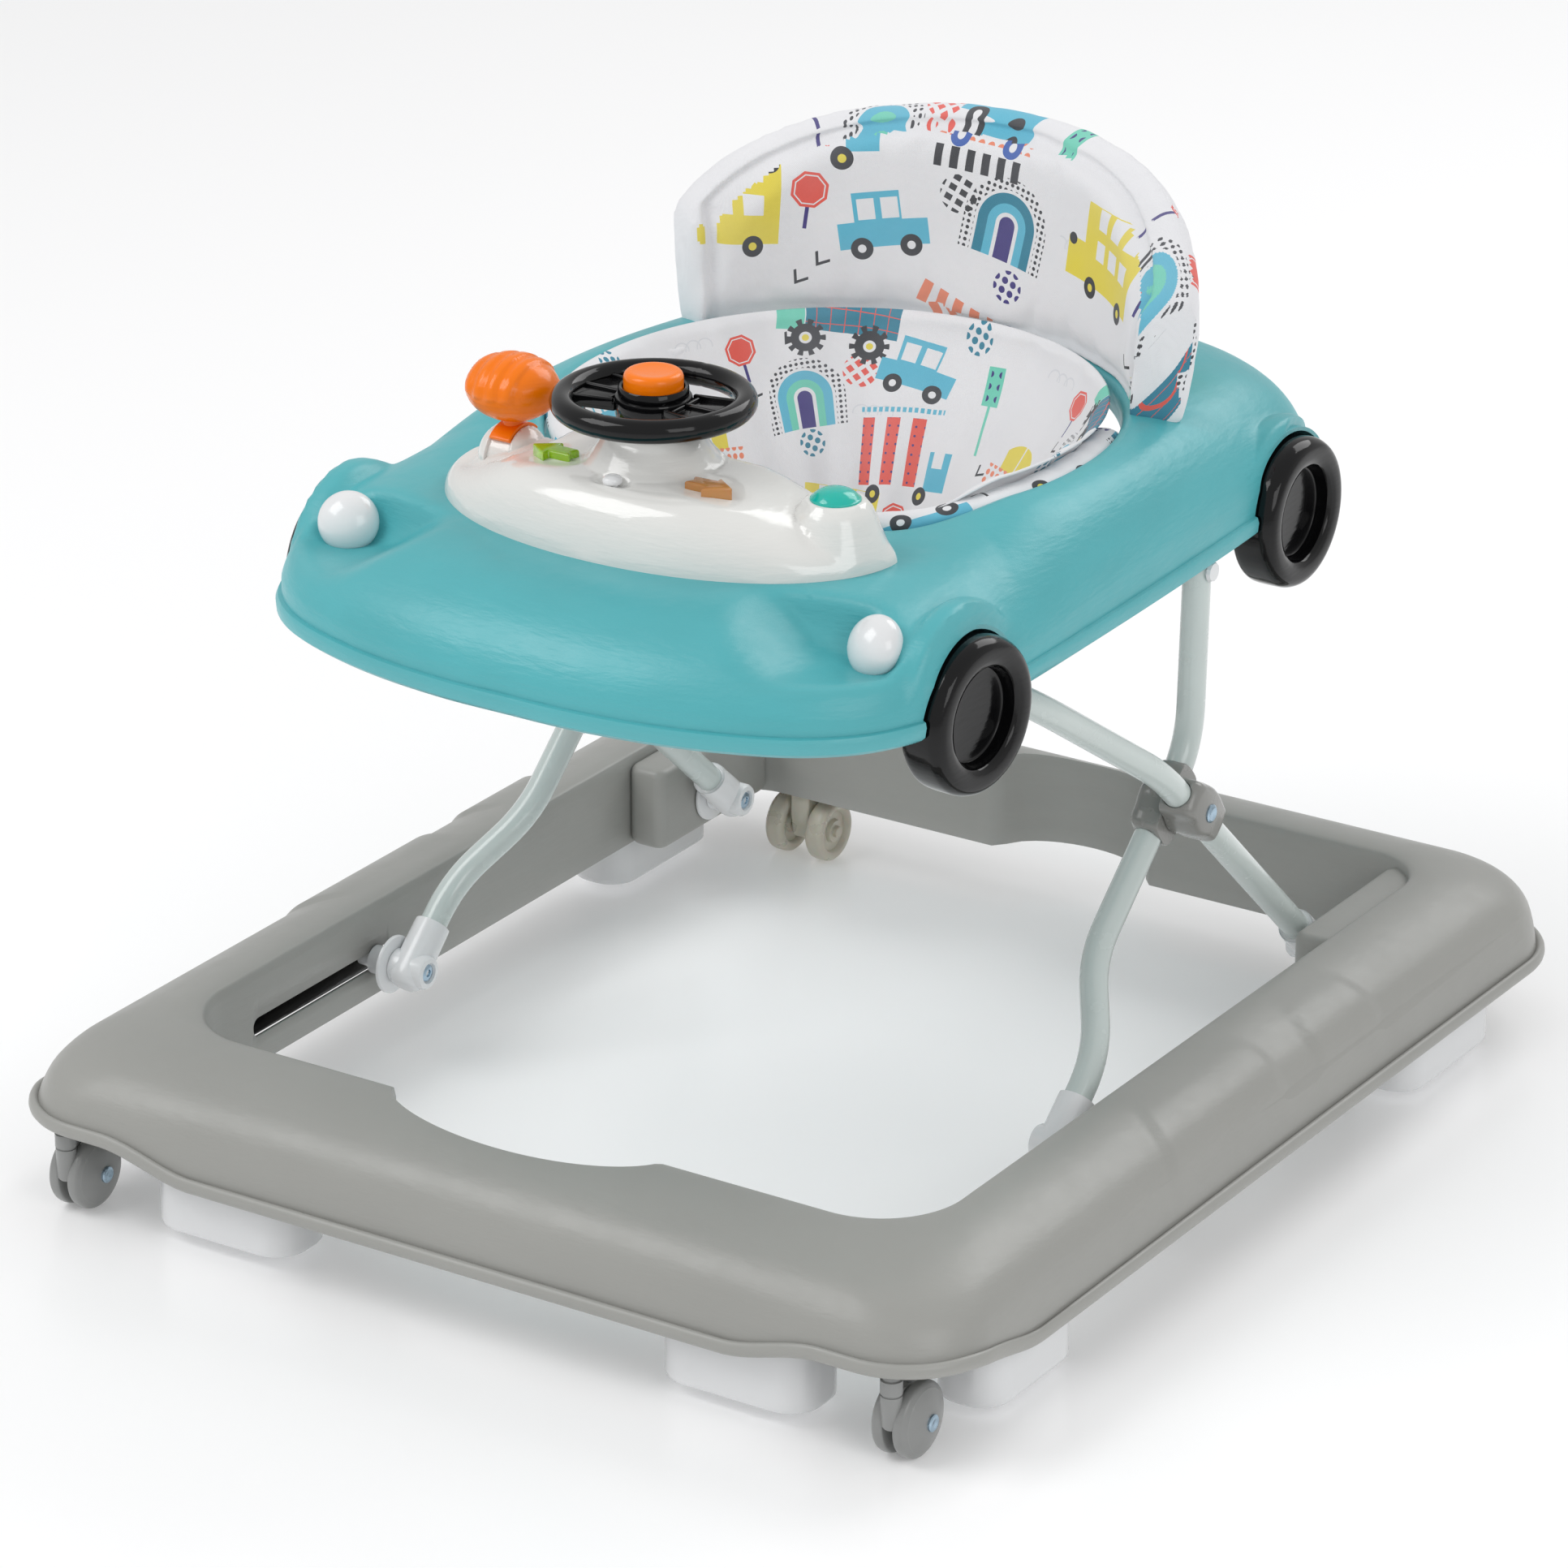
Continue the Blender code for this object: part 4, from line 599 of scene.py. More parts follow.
def print_truck(cloth):
    """Checked load on two toothed wheels, with a mint cab."""
    cloth.box(0.004, 0.006, 0.023, 0.0095, TEAL)
    lines = cloth.math("MAXIMUM", cloth.stripes(0.007, 0.06), cloth.stripes(0.0065, 0.06, 1))
    cloth.fill(CORAL, cloth.inside(0.004, 0.006, 0.023, 0.0095), lines)
    cloth.box(-0.0265, 0.004, 0.007, 0.0085, MINT)
    for wheel_x in (-0.018, 0.014):
        moved = cloth.vector("SUBTRACT", cloth.local, (wheel_x, -0.0085, 0.0))
        across, up = cloth.split(moved)
        teeth = cloth.math("SINE", cloth.math("MULTIPLY", cloth.math("ARCTAN2", up, across), 10.0))
        edge = cloth.math("ADD", 0.0088, cloth.math("MULTIPLY", cloth.math("SIGN", teeth), 0.0013))
        cloth.fill(COAL, cloth.less(cloth.vector("LENGTH", moved, output=1), edge))
        cloth.disc(wheel_x, -0.0085, 0.0032, WHITE)
        cloth.disc(wheel_x, -0.0085, 0.0018, YELLOW)


def print_bars(cloth):
    """Row of coral bars."""
    cloth.fill(PEACH, cloth.inside(0.0, 0.0, 0.02, 0.0058), cloth.stripes(0.0086, 0.56))


def print_cluster(cloth, colour):
    """Round cluster of dots."""
    cloth.fill(colour, cloth.near(0.0, 0.0, 0.0078), cloth.dots(0.0048, 0.0017))


def print_leaf(cloth):
    """Small dark leaf: a bent line."""
    bent = cloth.math("MULTIPLY", cloth.math("ABSOLUTE", cloth.parts[0]), 1.3)
    away = cloth.math("ABSOLUTE", cloth.math("SUBTRACT", cloth.parts[1], bent))
    cloth.fill(COAL, cloth.less(away, 0.0011), cloth.near(0.0, 0.002, 0.0048))


def print_chips(cloth, colour):
    """Round patch of square chips."""
    cloth.fill(colour, cloth.stripes(0.0058, 0.62), cloth.stripes(0.0052, 0.58, 1),
               cloth.near(0.0, 0.0, 0.0092))


def print_cloud(cloth):
    """Three faint half rings."""
    for across in (-0.007, 0.0, 0.007):
        away = cloth.vector("DISTANCE", cloth.local, (across, 0.0, 0.0), output=1)
        ring = cloth.less(cloth.math("ABSOLUTE", cloth.math("SUBTRACT", away, 0.0045)), 0.0004)
        cloth.fill(MIST, ring, cloth.math("GREATER_THAN", cloth.parts[1], -0.0008))


MOTIFS = (
    (print_cluster, 0.03, 0.118, 18, TEAL), (print_cluster, 0.215, 0.028, 18, NAVY),
    (print_cluster, 0.128, 0.196, 18, TEAL), (print_leaf, 0.092, 0.02, 35), (print_leaf, 0.104, 0.03, 35),
    (print_leaf, 0.238, 0.15, 35), (print_leaf, 0.012, 0.185, 35), (print_leaf, 0.16, 0.112, 35),
    (print_chips, 0.182, 0.075, 24, COAL), (print_chips, 0.058, 0.168, 50, CORAL),
    (print_cloud, 0.07, 0.14, 0), (print_cloud, 0.2, 0.188, 0), (print_cloud, 0.01, 0.06, 0),
    (print_van, 0.048, 0.06, 4), (print_small_car, 0.14, 0.052, -8), (print_sign, 0.1, 0.072, 8),
    (print_arch, 0.212, 0.062, 10, TEAL, SKY), (print_lorry, 0.1, 0.112, -4),
    (print_dotted_car, 0.196, 0.118, 4), (print_truck, 0.046, 0.196, 6), (print_post, 0.148, 0.158, -6),
    (print_arch, 0.024, 0.148, -10, SKY, MINT), (print_small_car, 0.094, 0.17, 10),
    (print_bars, 0.18, 0.01, 24), (print_sign, 0.232, 0.182, -12))


def printed_cloth(name):
    """Cool white woven cloth with the print, a fine weave and soft creases."""
    cloth = Print(name, PRINT_TILE)
    for motif, x, y, turn, *colours in MOTIFS:
        cloth.begin(x, y, turn)
        motif(cloth, *colours)
    threads = cloth.vector("SCALE", cloth.cloth)
    threads.node.inputs["Scale"].default_value = 2 * math.pi / THREAD_PITCH
    weave = cloth.math("MULTIPLY", *[cloth.math("SINE", part) for part in cloth.split(threads)])
    soil = cloth.spread(cloth.noise(12.0, 3.0), 0.0, 0.16)
    ground = cloth.mix(soil, cloth.colour, (0.62, 0.63, 0.68, 1.0))
    tint = cloth.mix(cloth.spread(weave, 0.0, 0.07, -1.0, 1.0), ground, (0.5, 0.5, 0.54, 1.0))
    normal = cloth.bump(weave, 0.0001, 0.6)
    normal = cloth.bump(cloth.noise(38.0, 4.0), 0.0016, 0.55, normal)
    cloth.set(Base_Color=tint, Roughness=0.88, Normal=normal, Sheen_Weight=0.18, Sheen_Roughness=0.4)
    return cloth.material


MATERIALS = {
    "base": plastic("base_plastic_look", (0.345, 0.345, 0.325), 0.38, 0.00004, 0.0002, variation=0.025),
    "castor": plastic("castor_plastic_look", (0.26, 0.265, 0.26), 0.32, 0.00003, coat=0.2),
    "clamp": plastic("clamp_plastic_look", (0.24, 0.24, 0.225), 0.26, 0.00003, coat=0.35),
    "white": plastic("white_plastic_look", (0.8, 0.81, 0.82), 0.2, 0.00002, coat=0.3, variation=0.02),
    "milky": plastic("milky_nylon_look", (0.74, 0.71, 0.6), 0.3, 0.00004, variation=0.05, clear=0.25),
    "tray": plastic("tray_plastic_look", (0.085, 0.43, 0.47), 0.36, 0.00006, 0.0004, variation=0.045),
    "black": plastic("black_plastic_look", (0.003, 0.003, 0.0035), 0.09, 0.00001, 0.0001, coat=0.05,
                     wear=0.003, shine=0.3),
    "console": plastic("console_plastic_look", (0.79, 0.79, 0.765), 0.15, 0.00001, 0.0003, coat=0.5,
                       variation=0.015),
    "orange": plastic("orange_plastic_look", (0.98, 0.205, 0.0), 0.24, 0.00002, 0.0002, coat=0.1, wear=0.02,
                      shine=0.35),
    "green": plastic("green_clear_look", (0.42, 0.74, 0.02), 0.16, 0.00002, clear=0.45, coat=0.4),
    "amber": plastic("amber_clear_look", (0.78, 0.36, 0.09), 0.18, 0.00002, clear=0.4, coat=0.4),
    "teal": plastic("teal_clear_look", (0.01, 0.6, 0.5), 0.18, 0.00002, clear=0.25, coat=0.4),
    "board": plastic("board_plastic_look", (0.28, 0.28, 0.28), 0.5, 0.00006),
    "tube": painted("painted_tube_look", (0.6, 0.67, 0.65)),
    "steel": steel("rivet_steel_look", (0.42, 0.55, 0.66)),
    "cloth": printed_cloth("print_fabric_look"),
}


# ---------------------------------------------------------------- base

def base_outline(half_width, front, rear, corner_front, corner_rear):
    """Outline of the base as (x, y), with the same number of points for every size."""
    near, far = half_width - corner_front, half_width - corner_rear
    low, high = front + corner_front, rear - corner_rear
    corners = ((near, low, corner_front, -90, 96), (far, high, corner_rear, 0, 110),
               (-far, high, corner_rear, 90, 60), (-near, low, corner_front, 180, 110))
    points = []
    x0, y0 = -near, front
    for x, y, radius, start, straight_steps in corners:
        bend = arc(x, y, radius, start, start + 90, 26)
        x1, y1 = bend[0]
        for i in range(straight_steps):
            points.append((x0 + (x1 - x0) * i / straight_steps, y0 + (y1 - y0) * i / straight_steps))
        points += bend[:-1]
        x0, y0 = bend[-1]
    return points


def dip_start(inner, outer):
    """Share of the way out at which the top starts: past the notch in front or the scoop behind."""
    half_width, depth = NOTCH if inner[1] < 0 else SCOOP
    across = 0.0
    if abs(inner[1]) < 0.25:
        return across
    for _ in range(6):
        x = inner[0] + (outer[0] - inner[0]) * across
        if abs(x) >= half_width:
            return 0.0
        across = depth * math.sqrt(1 - (x / half_width) ** 2) / abs(outer[1] - inner[1])
    return across


def flute_height(x, y, across):
    """Raised panels on the outer slope of the side rails, with edges along the flute lines."""
    if abs(x) < 0.24 or across < 0.18:
        return 0.0
    edges = [upper + (lower - upper) * smooth_step(across) for upper, lower in FLUTES]
    rise = 0.0
    for start, end in ((edges[0], edges[1]), (edges[2], edges[3])):
        rise += smooth_step((y - start) / 0.004 + 0.5) * smooth_step((end - y) / 0.004 + 0.5)
    return 0.0026 * rise * smooth_step((across - 0.2) / 0.5)


def build_base():
    """Moulded ring with its rolled flange, notch, scoop, flutes and slider slots; a black sheet behind each
    slot is painted shade.
    """
    inner = base_outline(WELL_HALF_WIDTH, WELL_FRONT, WELL_REAR, 0.05, 0.034)
    outer = base_outline(BASE_HALF[0], -BASE_HALF[1], BASE_HALF[1], 0.052, 0.06)
    top_steps = 34
    wall = BASE_WALL
    rows = []
    for (xi, yi), (xo, yo) in zip(inner, outer):
        start = dip_start((xi, yi), (xo, yo))
        width = math.hypot(xo - xi, yo - yi)
        near = math.hypot(abs(xo) - CASTOR_SPOT[0], yo - CASTOR_SPOT[1])
        lift = 0.012 * smooth_step(1.6 - near / 0.06) if yo < 0 else 0.0
        rim = BASE_BOTTOM + lift

        def spot(across, height):
            return (xi + (xo - xi) * across, yi + (yo - yi) * across, height)

        def top(across):
            return max(BASE_TOP * through(BASE_SHAPE, across), rim + 0.0095)

        end = 1 - 0.0054 / width
        step_down = max(0.0, top(end) - rim - 0.0068)
        row = [spot(start, BASE_BOTTOM), spot(start, BASE_BOTTOM + 0.01), spot(start, top(start) - 0.012)]
        row.append(spot(start, top(start) - 0.003))
        for step in range(top_steps + 1):
            across = start + (end - start) * (1 - (1 - step / top_steps) ** 1.25)
            across += 0.0012 / width * (step == 0)
            foot = math.exp((across - end) * width / 0.003)
            x, y, height = spot(across, top(across) - step_down * foot)
            row.append((x, y, height + flute_height(x, y, across) * (1 - foot)))
        for turn in range(9):
            angle = math.radians(140 - 230 * turn / 8)
            row.append(spot(1 - 0.003 / width + 0.003 / width * math.cos(angle),
                            rim + 0.0042 + 0.0042 * math.sin(angle)))
        row.append(spot(1 - wall / width - 0.03, rim + 0.001))
        for across in (0.86, 0.6, 0.3):
            across = max(across, start + 2 * wall / width)
            row.append(spot(across, top(across) - wall))
        row.append(spot(start + wall / width, top(start) - wall - 0.003))
        row.append(spot(start + wall / width, BASE_BOTTOM))
        rows.append(row)
    shell = loft("base_ring", rows, "base", 50, wrap=True)
    parts = [shell]
    for side, sign in SIDES:
        outline = rounded_outline((-0.205, PIVOT[1] - 0.0058), (-0.076, PIVOT[1] + 0.0058), 0.005)
        cut(shell, prism("slot_tool", outline, "X", (sign * 0.23, sign * 0.2455), "base"))
    for side, sign in SIDES:
        x_low, x_high = sorted((sign * 0.214, sign * 0.24))
        outline = rounded_outline((x_low, 0.17), (x_high, WELL_REAR + 0.001), 0.008)
        heights = (BASE_BOTTOM + 0.0005, 0.0945)
        parts.append(bevelled_prism("pivot_block_" + side, outline, "Z", heights, 0.005, "base"))
        # Black sheet behind each slot: painted shade, standing in for the shade inside the hollow ring seen
        # through the slot.
        outline = rounded_outline((-0.215, PIVOT[1] - 0.012), (-0.066, PIVOT[1] + 0.012), 0.004)
        sides = (sign * 0.25, sign * 0.2525)
        parts.append(bevelled_prism("slot_painted_shade_" + side, outline, "X", sides, 0.0005, "black"))
    item = join(parts, "base_ring_moulding")
    place(item, "base", "base_plastic", "base_shell")


def build_feet():
    """Glossy stop pads with round corners and a soft lower edge."""
    for side, sign in SIDES:
        for name, (near, far, front, rear, corner) in FEET.items():
            x_low, x_high = sorted((sign * near, sign * far))
            rows = []
            for height, inset in ((0.008, 0.003), (0.0084, 0.0014), (0.0096, 0.0003), (0.012, 0.0),
                                  (0.052, 0.0), (0.0545, 0.0015)):
                outline = rounded_outline((x_low + inset, front + inset), (x_high - inset, rear - inset),
                                          corner - inset, 10)
                rows.append([(x, y, height) for x, y in outline])
            item = loft(name + side + "_moulding", rows, "white", caps=True)
            place(item, "base", "white_plastic", name + side)


# ---------------------------------------------------------------- castors

def build_front_castors():
    """Twin-wheel castors with domed faces, a collared stem and steel axle caps."""
    dome = ((0.0, 0.019), (0.0004, 0.0204), (0.002, 0.021), (0.0045, 0.021), (0.0062, 0.0203),
            (0.0078, 0.0178), (0.0081, 0.0172), (0.0098, 0.0128), (0.0112, 0.008), (0.0118, 0.0046))
    for side, sign in SIDES:
        x, y = sign * CASTOR_SPOT[0], CASTOR_SPOT[1]
        hub = Vector((x, y + 0.016, 0.021))
        for where, way in (("inner", -sign), ("outer", sign)):
            face = hub + Vector((way * 0.0029, 0, 0))
            half = turned(f"castor_dome_{where}_{side}", face, (way, 0, 0), dome, "castor", 64, 3)
            place(half, "castor_wheels_" + side, "castor_plastic", f"castor_wheel_{where}_{side}")
            cap = turned(f"castor_cap_{where}_{side}", hub, (way, 0, 0),
                         ((0.014, 0.0047), (0.0158, 0.0047), (0.0164, 0.004), (0.0165, 0.0022),
                          (0.016, 0.0015)),
                         "steel", 32)
            place(cap, "castor_wheels_" + side, "rivet_steel", "castor_axle_" + side)
        stem = turned("castor_stem_part", (x, y, 0), (0, 0, 1),
                      ((0.021, 0.004), (0.023, 0.0056), (0.04, 0.0058), (0.0403, 0.0052), (0.0412, 0.0052),
                       (0.0414, 0.006), (0.049, 0.006), (0.0496, 0.005), (0.057, 0.005)), "castor")
        outline = [(hub.y + a, hub.z + b) for a, b in
                   ((-0.02, 0.018), (-0.011, 0.02), (0.0, 0.019), (0.01, 0.011), (0.011, -0.006),
                    (0.0, -0.012), (-0.011, -0.006), (-0.02, 0.008))]
        plate = bevelled_prism("castor_plate_part", outline, "X", (x - 0.0025, x + 0.0025), 0.0008, "castor")
        fork = join([stem, plate], "castor_stem_" + side)
        place(fork, "castor_" + side, "castor_plastic", "castor_fork_" + side)


def build_rear_castors():
    """Milky twin wheels with recessed discs, on a web with an axle."""
    for side, sign in SIDES:
        centre = Vector((sign * REAR_CASTOR[0], *REAR_CASTOR[1:]))
        web = [(centre.y + a, centre.z + b) for a, b in ((-0.008, -0.006), (0.008, -0.006), (0.011, 0.01),
                                                         (0.014, 0.047), (-0.009, 0.047), (-0.011, 0.01))]
        sides = (centre.x - 0.0065, centre.x + 0.0065)
        plate = bevelled_prism("rear_web_part", web, "X", sides, 0.0015, "milky")
        shape = ((-0.0225, 0.003), (-0.022, 0.0036), (0.022, 0.0036), (0.0225, 0.003))
        axle = turned("rear_axle_part", centre, (1, 0, 0), shape, "milky", 24)
        place(join([plate, axle], "rear_web_" + side), "base", "milky_nylon", "rear_bracket_" + side)
        for where, way in (("inner", -sign), ("outer", sign)):
            middle = centre + Vector((way * 0.01435, 0, 0))
            half = [(0.0052, 0.004), (0.0054, 0.0068), (0.003, 0.0076), (0.003, 0.0126), (0.0056, 0.0134),
                    (0.00625, 0.015), (0.006, 0.0172), (0.0045, 0.0186), (0.0025, 0.019)]
            profile = [(-a, r) for a, r in half] + [(a, r) for a, r in half[::-1]]
            wheel = turned(f"rear_roller_{where}_{side}", middle, (1, 0, 0), profile, "milky",
                           56, sharp=55)
            place(wheel, f"rear_wheel_{where}_{side}", "milky_nylon", f"rear_wheel_{where}_{side}")


# ---------------------------------------------------------------- legs

def bent_path(points, bends, steps=12):
    """Polyline whose corners are rounded by the bend lengths, which repeat backwards on the second half."""
    points = [Vector(point) for point in points]
    bends = list(bends) + list(bends[::-1])
    path = [points[0]]
    for before, corner, after, bend in zip(points, points[1:], points[2:], bends):
        reach = min(bend, (corner - before).length * 0.45, (after - corner).length * 0.45)
        start = corner + (before - corner).normalized() * reach
        end = corner + (after - corner).normalized() * reach
        for step in range(steps + 1):
            t = step / steps
            path.append(start * (1 - t) ** 2 + corner * 2 * t * (1 - t) + end * t * t)
    path.append(points[-1])
    return path


def tube(name, path, radius, material, count=36):
    """Round bar along a path, with flat caps at its ends."""
    across = None
    rows = []
    last = len(path) - 1
    for i, point in enumerate(path):
        ahead = (path[min(i + 1, last)] - path[max(i - 1, 0)]).normalized()
        if across is None:
            across = ahead.orthogonal().normalized()
        across = (across - ahead * across.dot(ahead)).normalized()
        rows.append(circle(point, across, ahead.cross(across), radius, count))
    return loft(name, rows, material, 60, caps=True)


def front_leg_points(sign):
    """Corners of the front leg frame on one side, from its rear pivot to its cross bar."""
    bends = ((0.2, *PIVOT), (0.205, 0.03, 0.2385), (0.1905, -0.088, 0.3185), (0.14, -0.15, 0.362))
    return [(sign * x, y, z) for x, y, z in bends]


def rear_leg_points(sign):
    """Corners of a rear leg, from its slider pin to its pivot under the tray."""
    bends = ((0.2135, *SLIDER), (0.2135, -0.047, 0.103), (0.187, -0.008, 0.139), (0.187, 0.094, 0.2295),
             (0.187, *TRAY_PIVOT))
    return [(sign * x, y, z) for x, y, z in bends]


def toward(start, end, distance):
    """Point at a distance from start in the direction of end."""
    start = Vector(start)
    return start + (Vector(end) - start).normalized() * distance


def build_legs():
    """Enamelled tubes, with their end plugs, pins and clamps."""
    right, left = list(front_leg_points(1)), list(front_leg_points(-1))
    right[0], left[0] = toward(right[0], right[1], 0.011), toward(left[0], left[1], 0.011)
    path = bent_path(right + left[::-1], (0.02, 0.034, 0.045))
    place(tube("leg_frame_tube", path, TUBE_RADIUS, "tube"), "leg_front", "painted_tube",
          "leg_frame_front")
    for side, sign in SIDES:
        points = list(rear_leg_points(sign))
        points[0] = toward(points[0], points[1], 0.011)
        points[-1] = Vector(points[-1]) + Vector((0, 0, 0.0075))
        path = bent_path(points, (0.022, 0.02, 0.024, 0.024))
        place(tube("leg_tube_" + side, path, TUBE_RADIUS, "tube"), "leg_rear", "painted_tube",
              "leg_rear_" + side)
        build_plug("pivot", side, front_leg_points(sign), sign, "leg_front")
        build_plug("slider", side, rear_leg_points(sign), sign, "leg_rear")
        build_clamp(side, sign)


def build_plug(kind, side, points, sign, body):
    """White end plug over the tube, with a flange disc towards the rail and a recessed screw."""
    eye = Vector(points[0])
    along = (Vector(points[1]) - eye).normalized()
    profile = ((-0.0118, 0.003), (-0.0112, 0.0072), (-0.0085, 0.0098), (-0.005, 0.0107), (0.0, 0.0108),
               (0.0265, 0.0105), (0.028, 0.01), (0.0285, 0.0086))
    socket = turned("plug_part", eye, along, profile, "white", 40, 2)
    shape = ((-0.01, 0.01), (0.0105, 0.01), (0.0122, 0.009), (0.0125, 0.0062), (0.0105, 0.0056))
    boss = turned("plug_boss_part", eye, (-sign, 0, 0), shape, "white", 40)
    pin_end = 0.0345 if kind == "slider" else 0.0253
    outer = ((0.01, 0.006), (0.011, 0.0165), (0.0116, 0.017), (0.013, 0.017), (0.0137, 0.016),
             (0.014, 0.0085), (0.025, 0.0085), (0.0252, 0.0055), (pin_end, 0.005))
    pin = turned("plug_pin_part", eye, (sign, 0, 0), outer, "white", 40)
    shape = ((0.006, 0.005), (0.0112, 0.005), (0.0118, 0.0042), (0.0119, 0.0022), (0.0105, 0.0018))
    screw = turned("plug_screw_part", eye, (-sign, 0, 0), shape, "steel", 28)
    item = join([socket, boss, pin, screw], f"end_plug_{kind}_{side}")
    place(item, body, "white_plastic", f"plug_{kind}_{side}")
    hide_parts(f"{kind}_pin_{side}")


def build_clamp(side, sign):
    """Saddle clamps, one round each tube at the crossing, with the rivet through both."""
    centre = Vector((0, CROSS[0], CROSS[1]))
    halves = (("outer", front_leg_points(sign)[:2], CLAMP_SPLIT_X + 0.0003, 0.0208, "leg_front"),
              ("inner", rear_leg_points(sign)[2:4], CLAMP_SPLIT_X - 0.0003, -0.0195, "leg_rear"))
    for where, (low, high), face, depth, body in halves:
        low, high = Vector(low), Vector(high)
        along = Vector((0, high.y - low.y, high.z - low.z)).normalized()
        up = Vector((0, -along.z, along.y))
        outline = curve_through([(x, y, 0) for x, y in CLAMP_OUTLINE], 6, closed=True)
        rows = []
        for reach, size in CLAMP_CROWN:
            shift = Vector((sign * (face + depth * reach), 0, 0))
            rows.append([shift + centre + (along * p.x + up * p.y) * size for p in outline])
        clamp = loft("clamp_part", rows, "clamp", 50, caps=True)
        away = (high - low).normalized()
        bore = TUBE_RADIUS + 0.0004
        rod = turned("clamp_tool", low - away * 0.08, away, ((0.0, bore), (0.35, bore)), "clamp", 32)
        cut(clamp, rod)
        way = sign if depth > 0 else -sign
        head = Vector((sign * face, CROSS[0], CROSS[1]))
        top = abs(depth)
        shape = ((top - 0.004, 0.0052), (top + 0.0008, 0.0052), (top + 0.0016, 0.004), (top + 0.0008, 0.0018))
        rivet = turned("clamp_rivet_part", head, (way, 0, 0), shape, "steel", 32)
        item = join([clamp, rivet], f"cross_clamp_{where}_{side}")
        place(item, body, "clamp_plastic", f"clamp_{where}_{side}")
        if where == "outer":
            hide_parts("clamp_rivet_" + side)


# ---------------------------------------------------------------- tray

TRAY_HALF = ((0.0, -0.295), (0.04, -0.2945), (0.084, -0.289), (0.123, -0.2785), (0.157, -0.2635),
             (0.182, -0.242), (0.1965, -0.215), (0.2015, -0.185), (0.203, -0.125), (0.2022, -0.05),
             (0.2, 0.04), (0.196, 0.13), (0.1912, 0.185), (0.182, 0.226), (0.164, 0.254),
             (0.132, 0.2765), (0.092, 0.2895), (0.047, 0.295), (0.0, 0.296))


def tray_reaches(count):
    """Distance from the seat's centre to the tray's rim, for evenly spaced directions."""
    points = [(x, y, 0) for x, y in TRAY_HALF] + [(-x, y, 0) for x, y in TRAY_HALF[-2:0:-1]]
    known = []
    for point in curve_through(points, 24, closed=True):
        away = Vector((point.x, point.y - SEAT_Y))
        known.append((math.atan2(away.y, away.x) % (2 * math.pi), away.length))
    known.sort()
    known = [(known[-1][0] - 2 * math.pi, known[-1][1])] + known + [(known[0][0] + 2 * math.pi, known[0][1])]
    reaches = []
    k = 0
    for i in range(count):
        angle = 2 * math.pi * i / count
        while known[k + 1][0] < angle:
            k += 1
        (a0, r0), (a1, r1) = known[k], known[k + 1]
        reaches.append(r0 + (r1 - r0) * (angle - a0) / (a1 - a0))
    return reaches


def opening_reach(angle):
    """Radius of the seat opening in one direction: oval behind, a little flatter in front."""
    rear = math.sin(angle) >= 0
    power = 2.0 if rear else 2.4
    x = abs(math.cos(angle)) / SEAT_HALF_WIDTH
    y = abs(math.sin(angle)) / (SEAT_RADIUS if rear else SEAT_FRONT_REACH)
    return (x ** power + y ** power) ** (-1 / power)


def front_share(angle):
    """How far a direction from the seat's centre belongs to the tray's lower front deck, 0 to 1."""
    return smooth_step((-math.sin(angle) - 0.35) / 0.4)


def deck_height(angle, inward, width):
    """Height of the tray's top at a distance in from its rim."""
    rise = 0.0675 - 0.0115 * front_share(angle)
    s = min(1.0, inward / min(width, ROUNDING))
    return RIM_Z + 0.004 + (rise - 0.004) * (1 - (1 - s) ** 2.2) ** (1 / 2.2)


def blend_up(low, high, soft):
    """Smooth maximum of two heights."""
    return 0.5 * (low + high + math.sqrt((high - low) ** 2 + soft ** 2))


def with_fenders(x, y, z):
    """Raise a point of the tray's skin over the car wheels."""
    for end, wheel_y in WHEEL_Y.items():
        along = (y - wheel_y) / FENDER_RADIUS
        edge = FENDER_EDGE_X[end]
        if abs(along) > 1.35 or abs(x) < edge - 0.06:
            continue
        arch = WHEEL_Z + FENDER_RADIUS * math.sqrt(max(0.0, 1 - min(1.0, abs(along)) ** 2))
        near = smooth_step((abs(x) - (edge - 0.045)) / 0.035)
        shoulder = smooth_step((edge + 0.0015 - abs(x)) / 0.006)
        target = RIM_Z + (arch - RIM_Z + FENDER_LIFT[end]) * near * (0.35 + 0.65 * shoulder)
        share = smooth_step((1.3 - abs(along)) / 0.35)
        z = z + (blend_up(z, target, 0.006) - z) * share
    return z


def with_lamp_dish(point):
    """Hollow the tray's skin in front of a lamp, as if milled along the way that the lamp looks."""
    sign = 1 if point.x > 0 else -1
    away = point - Vector((sign * LAMP[0], LAMP[1], LAMP[2]))
    if away.length > DISH_REACH:
        return point
    look = lamp_direction(sign)
    ahead = away.dot(look)
    side = away - look * ahead
    below = max(0.0, -side.z)
    reach = math.hypot(side.length, 1.2 * below)
    floor = 0.8 * max(0.0, reach - 0.019) - 0.006 + 1.6 * max(0.0, below - 0.012)
    lowered = 0.5 * (ahead + floor - math.sqrt((ahead - floor) ** 2 + 0.0022 ** 2))
    return point + look * (lowered - ahead) * smooth_step((DISH_REACH - away.length) / 0.02)


def lamp_direction(sign):
    """Way that a lamp looks: forward, inboard and up."""
    return Vector((-sign * LAMP_LOOK[0], *LAMP_LOOK[1:])).normalized()


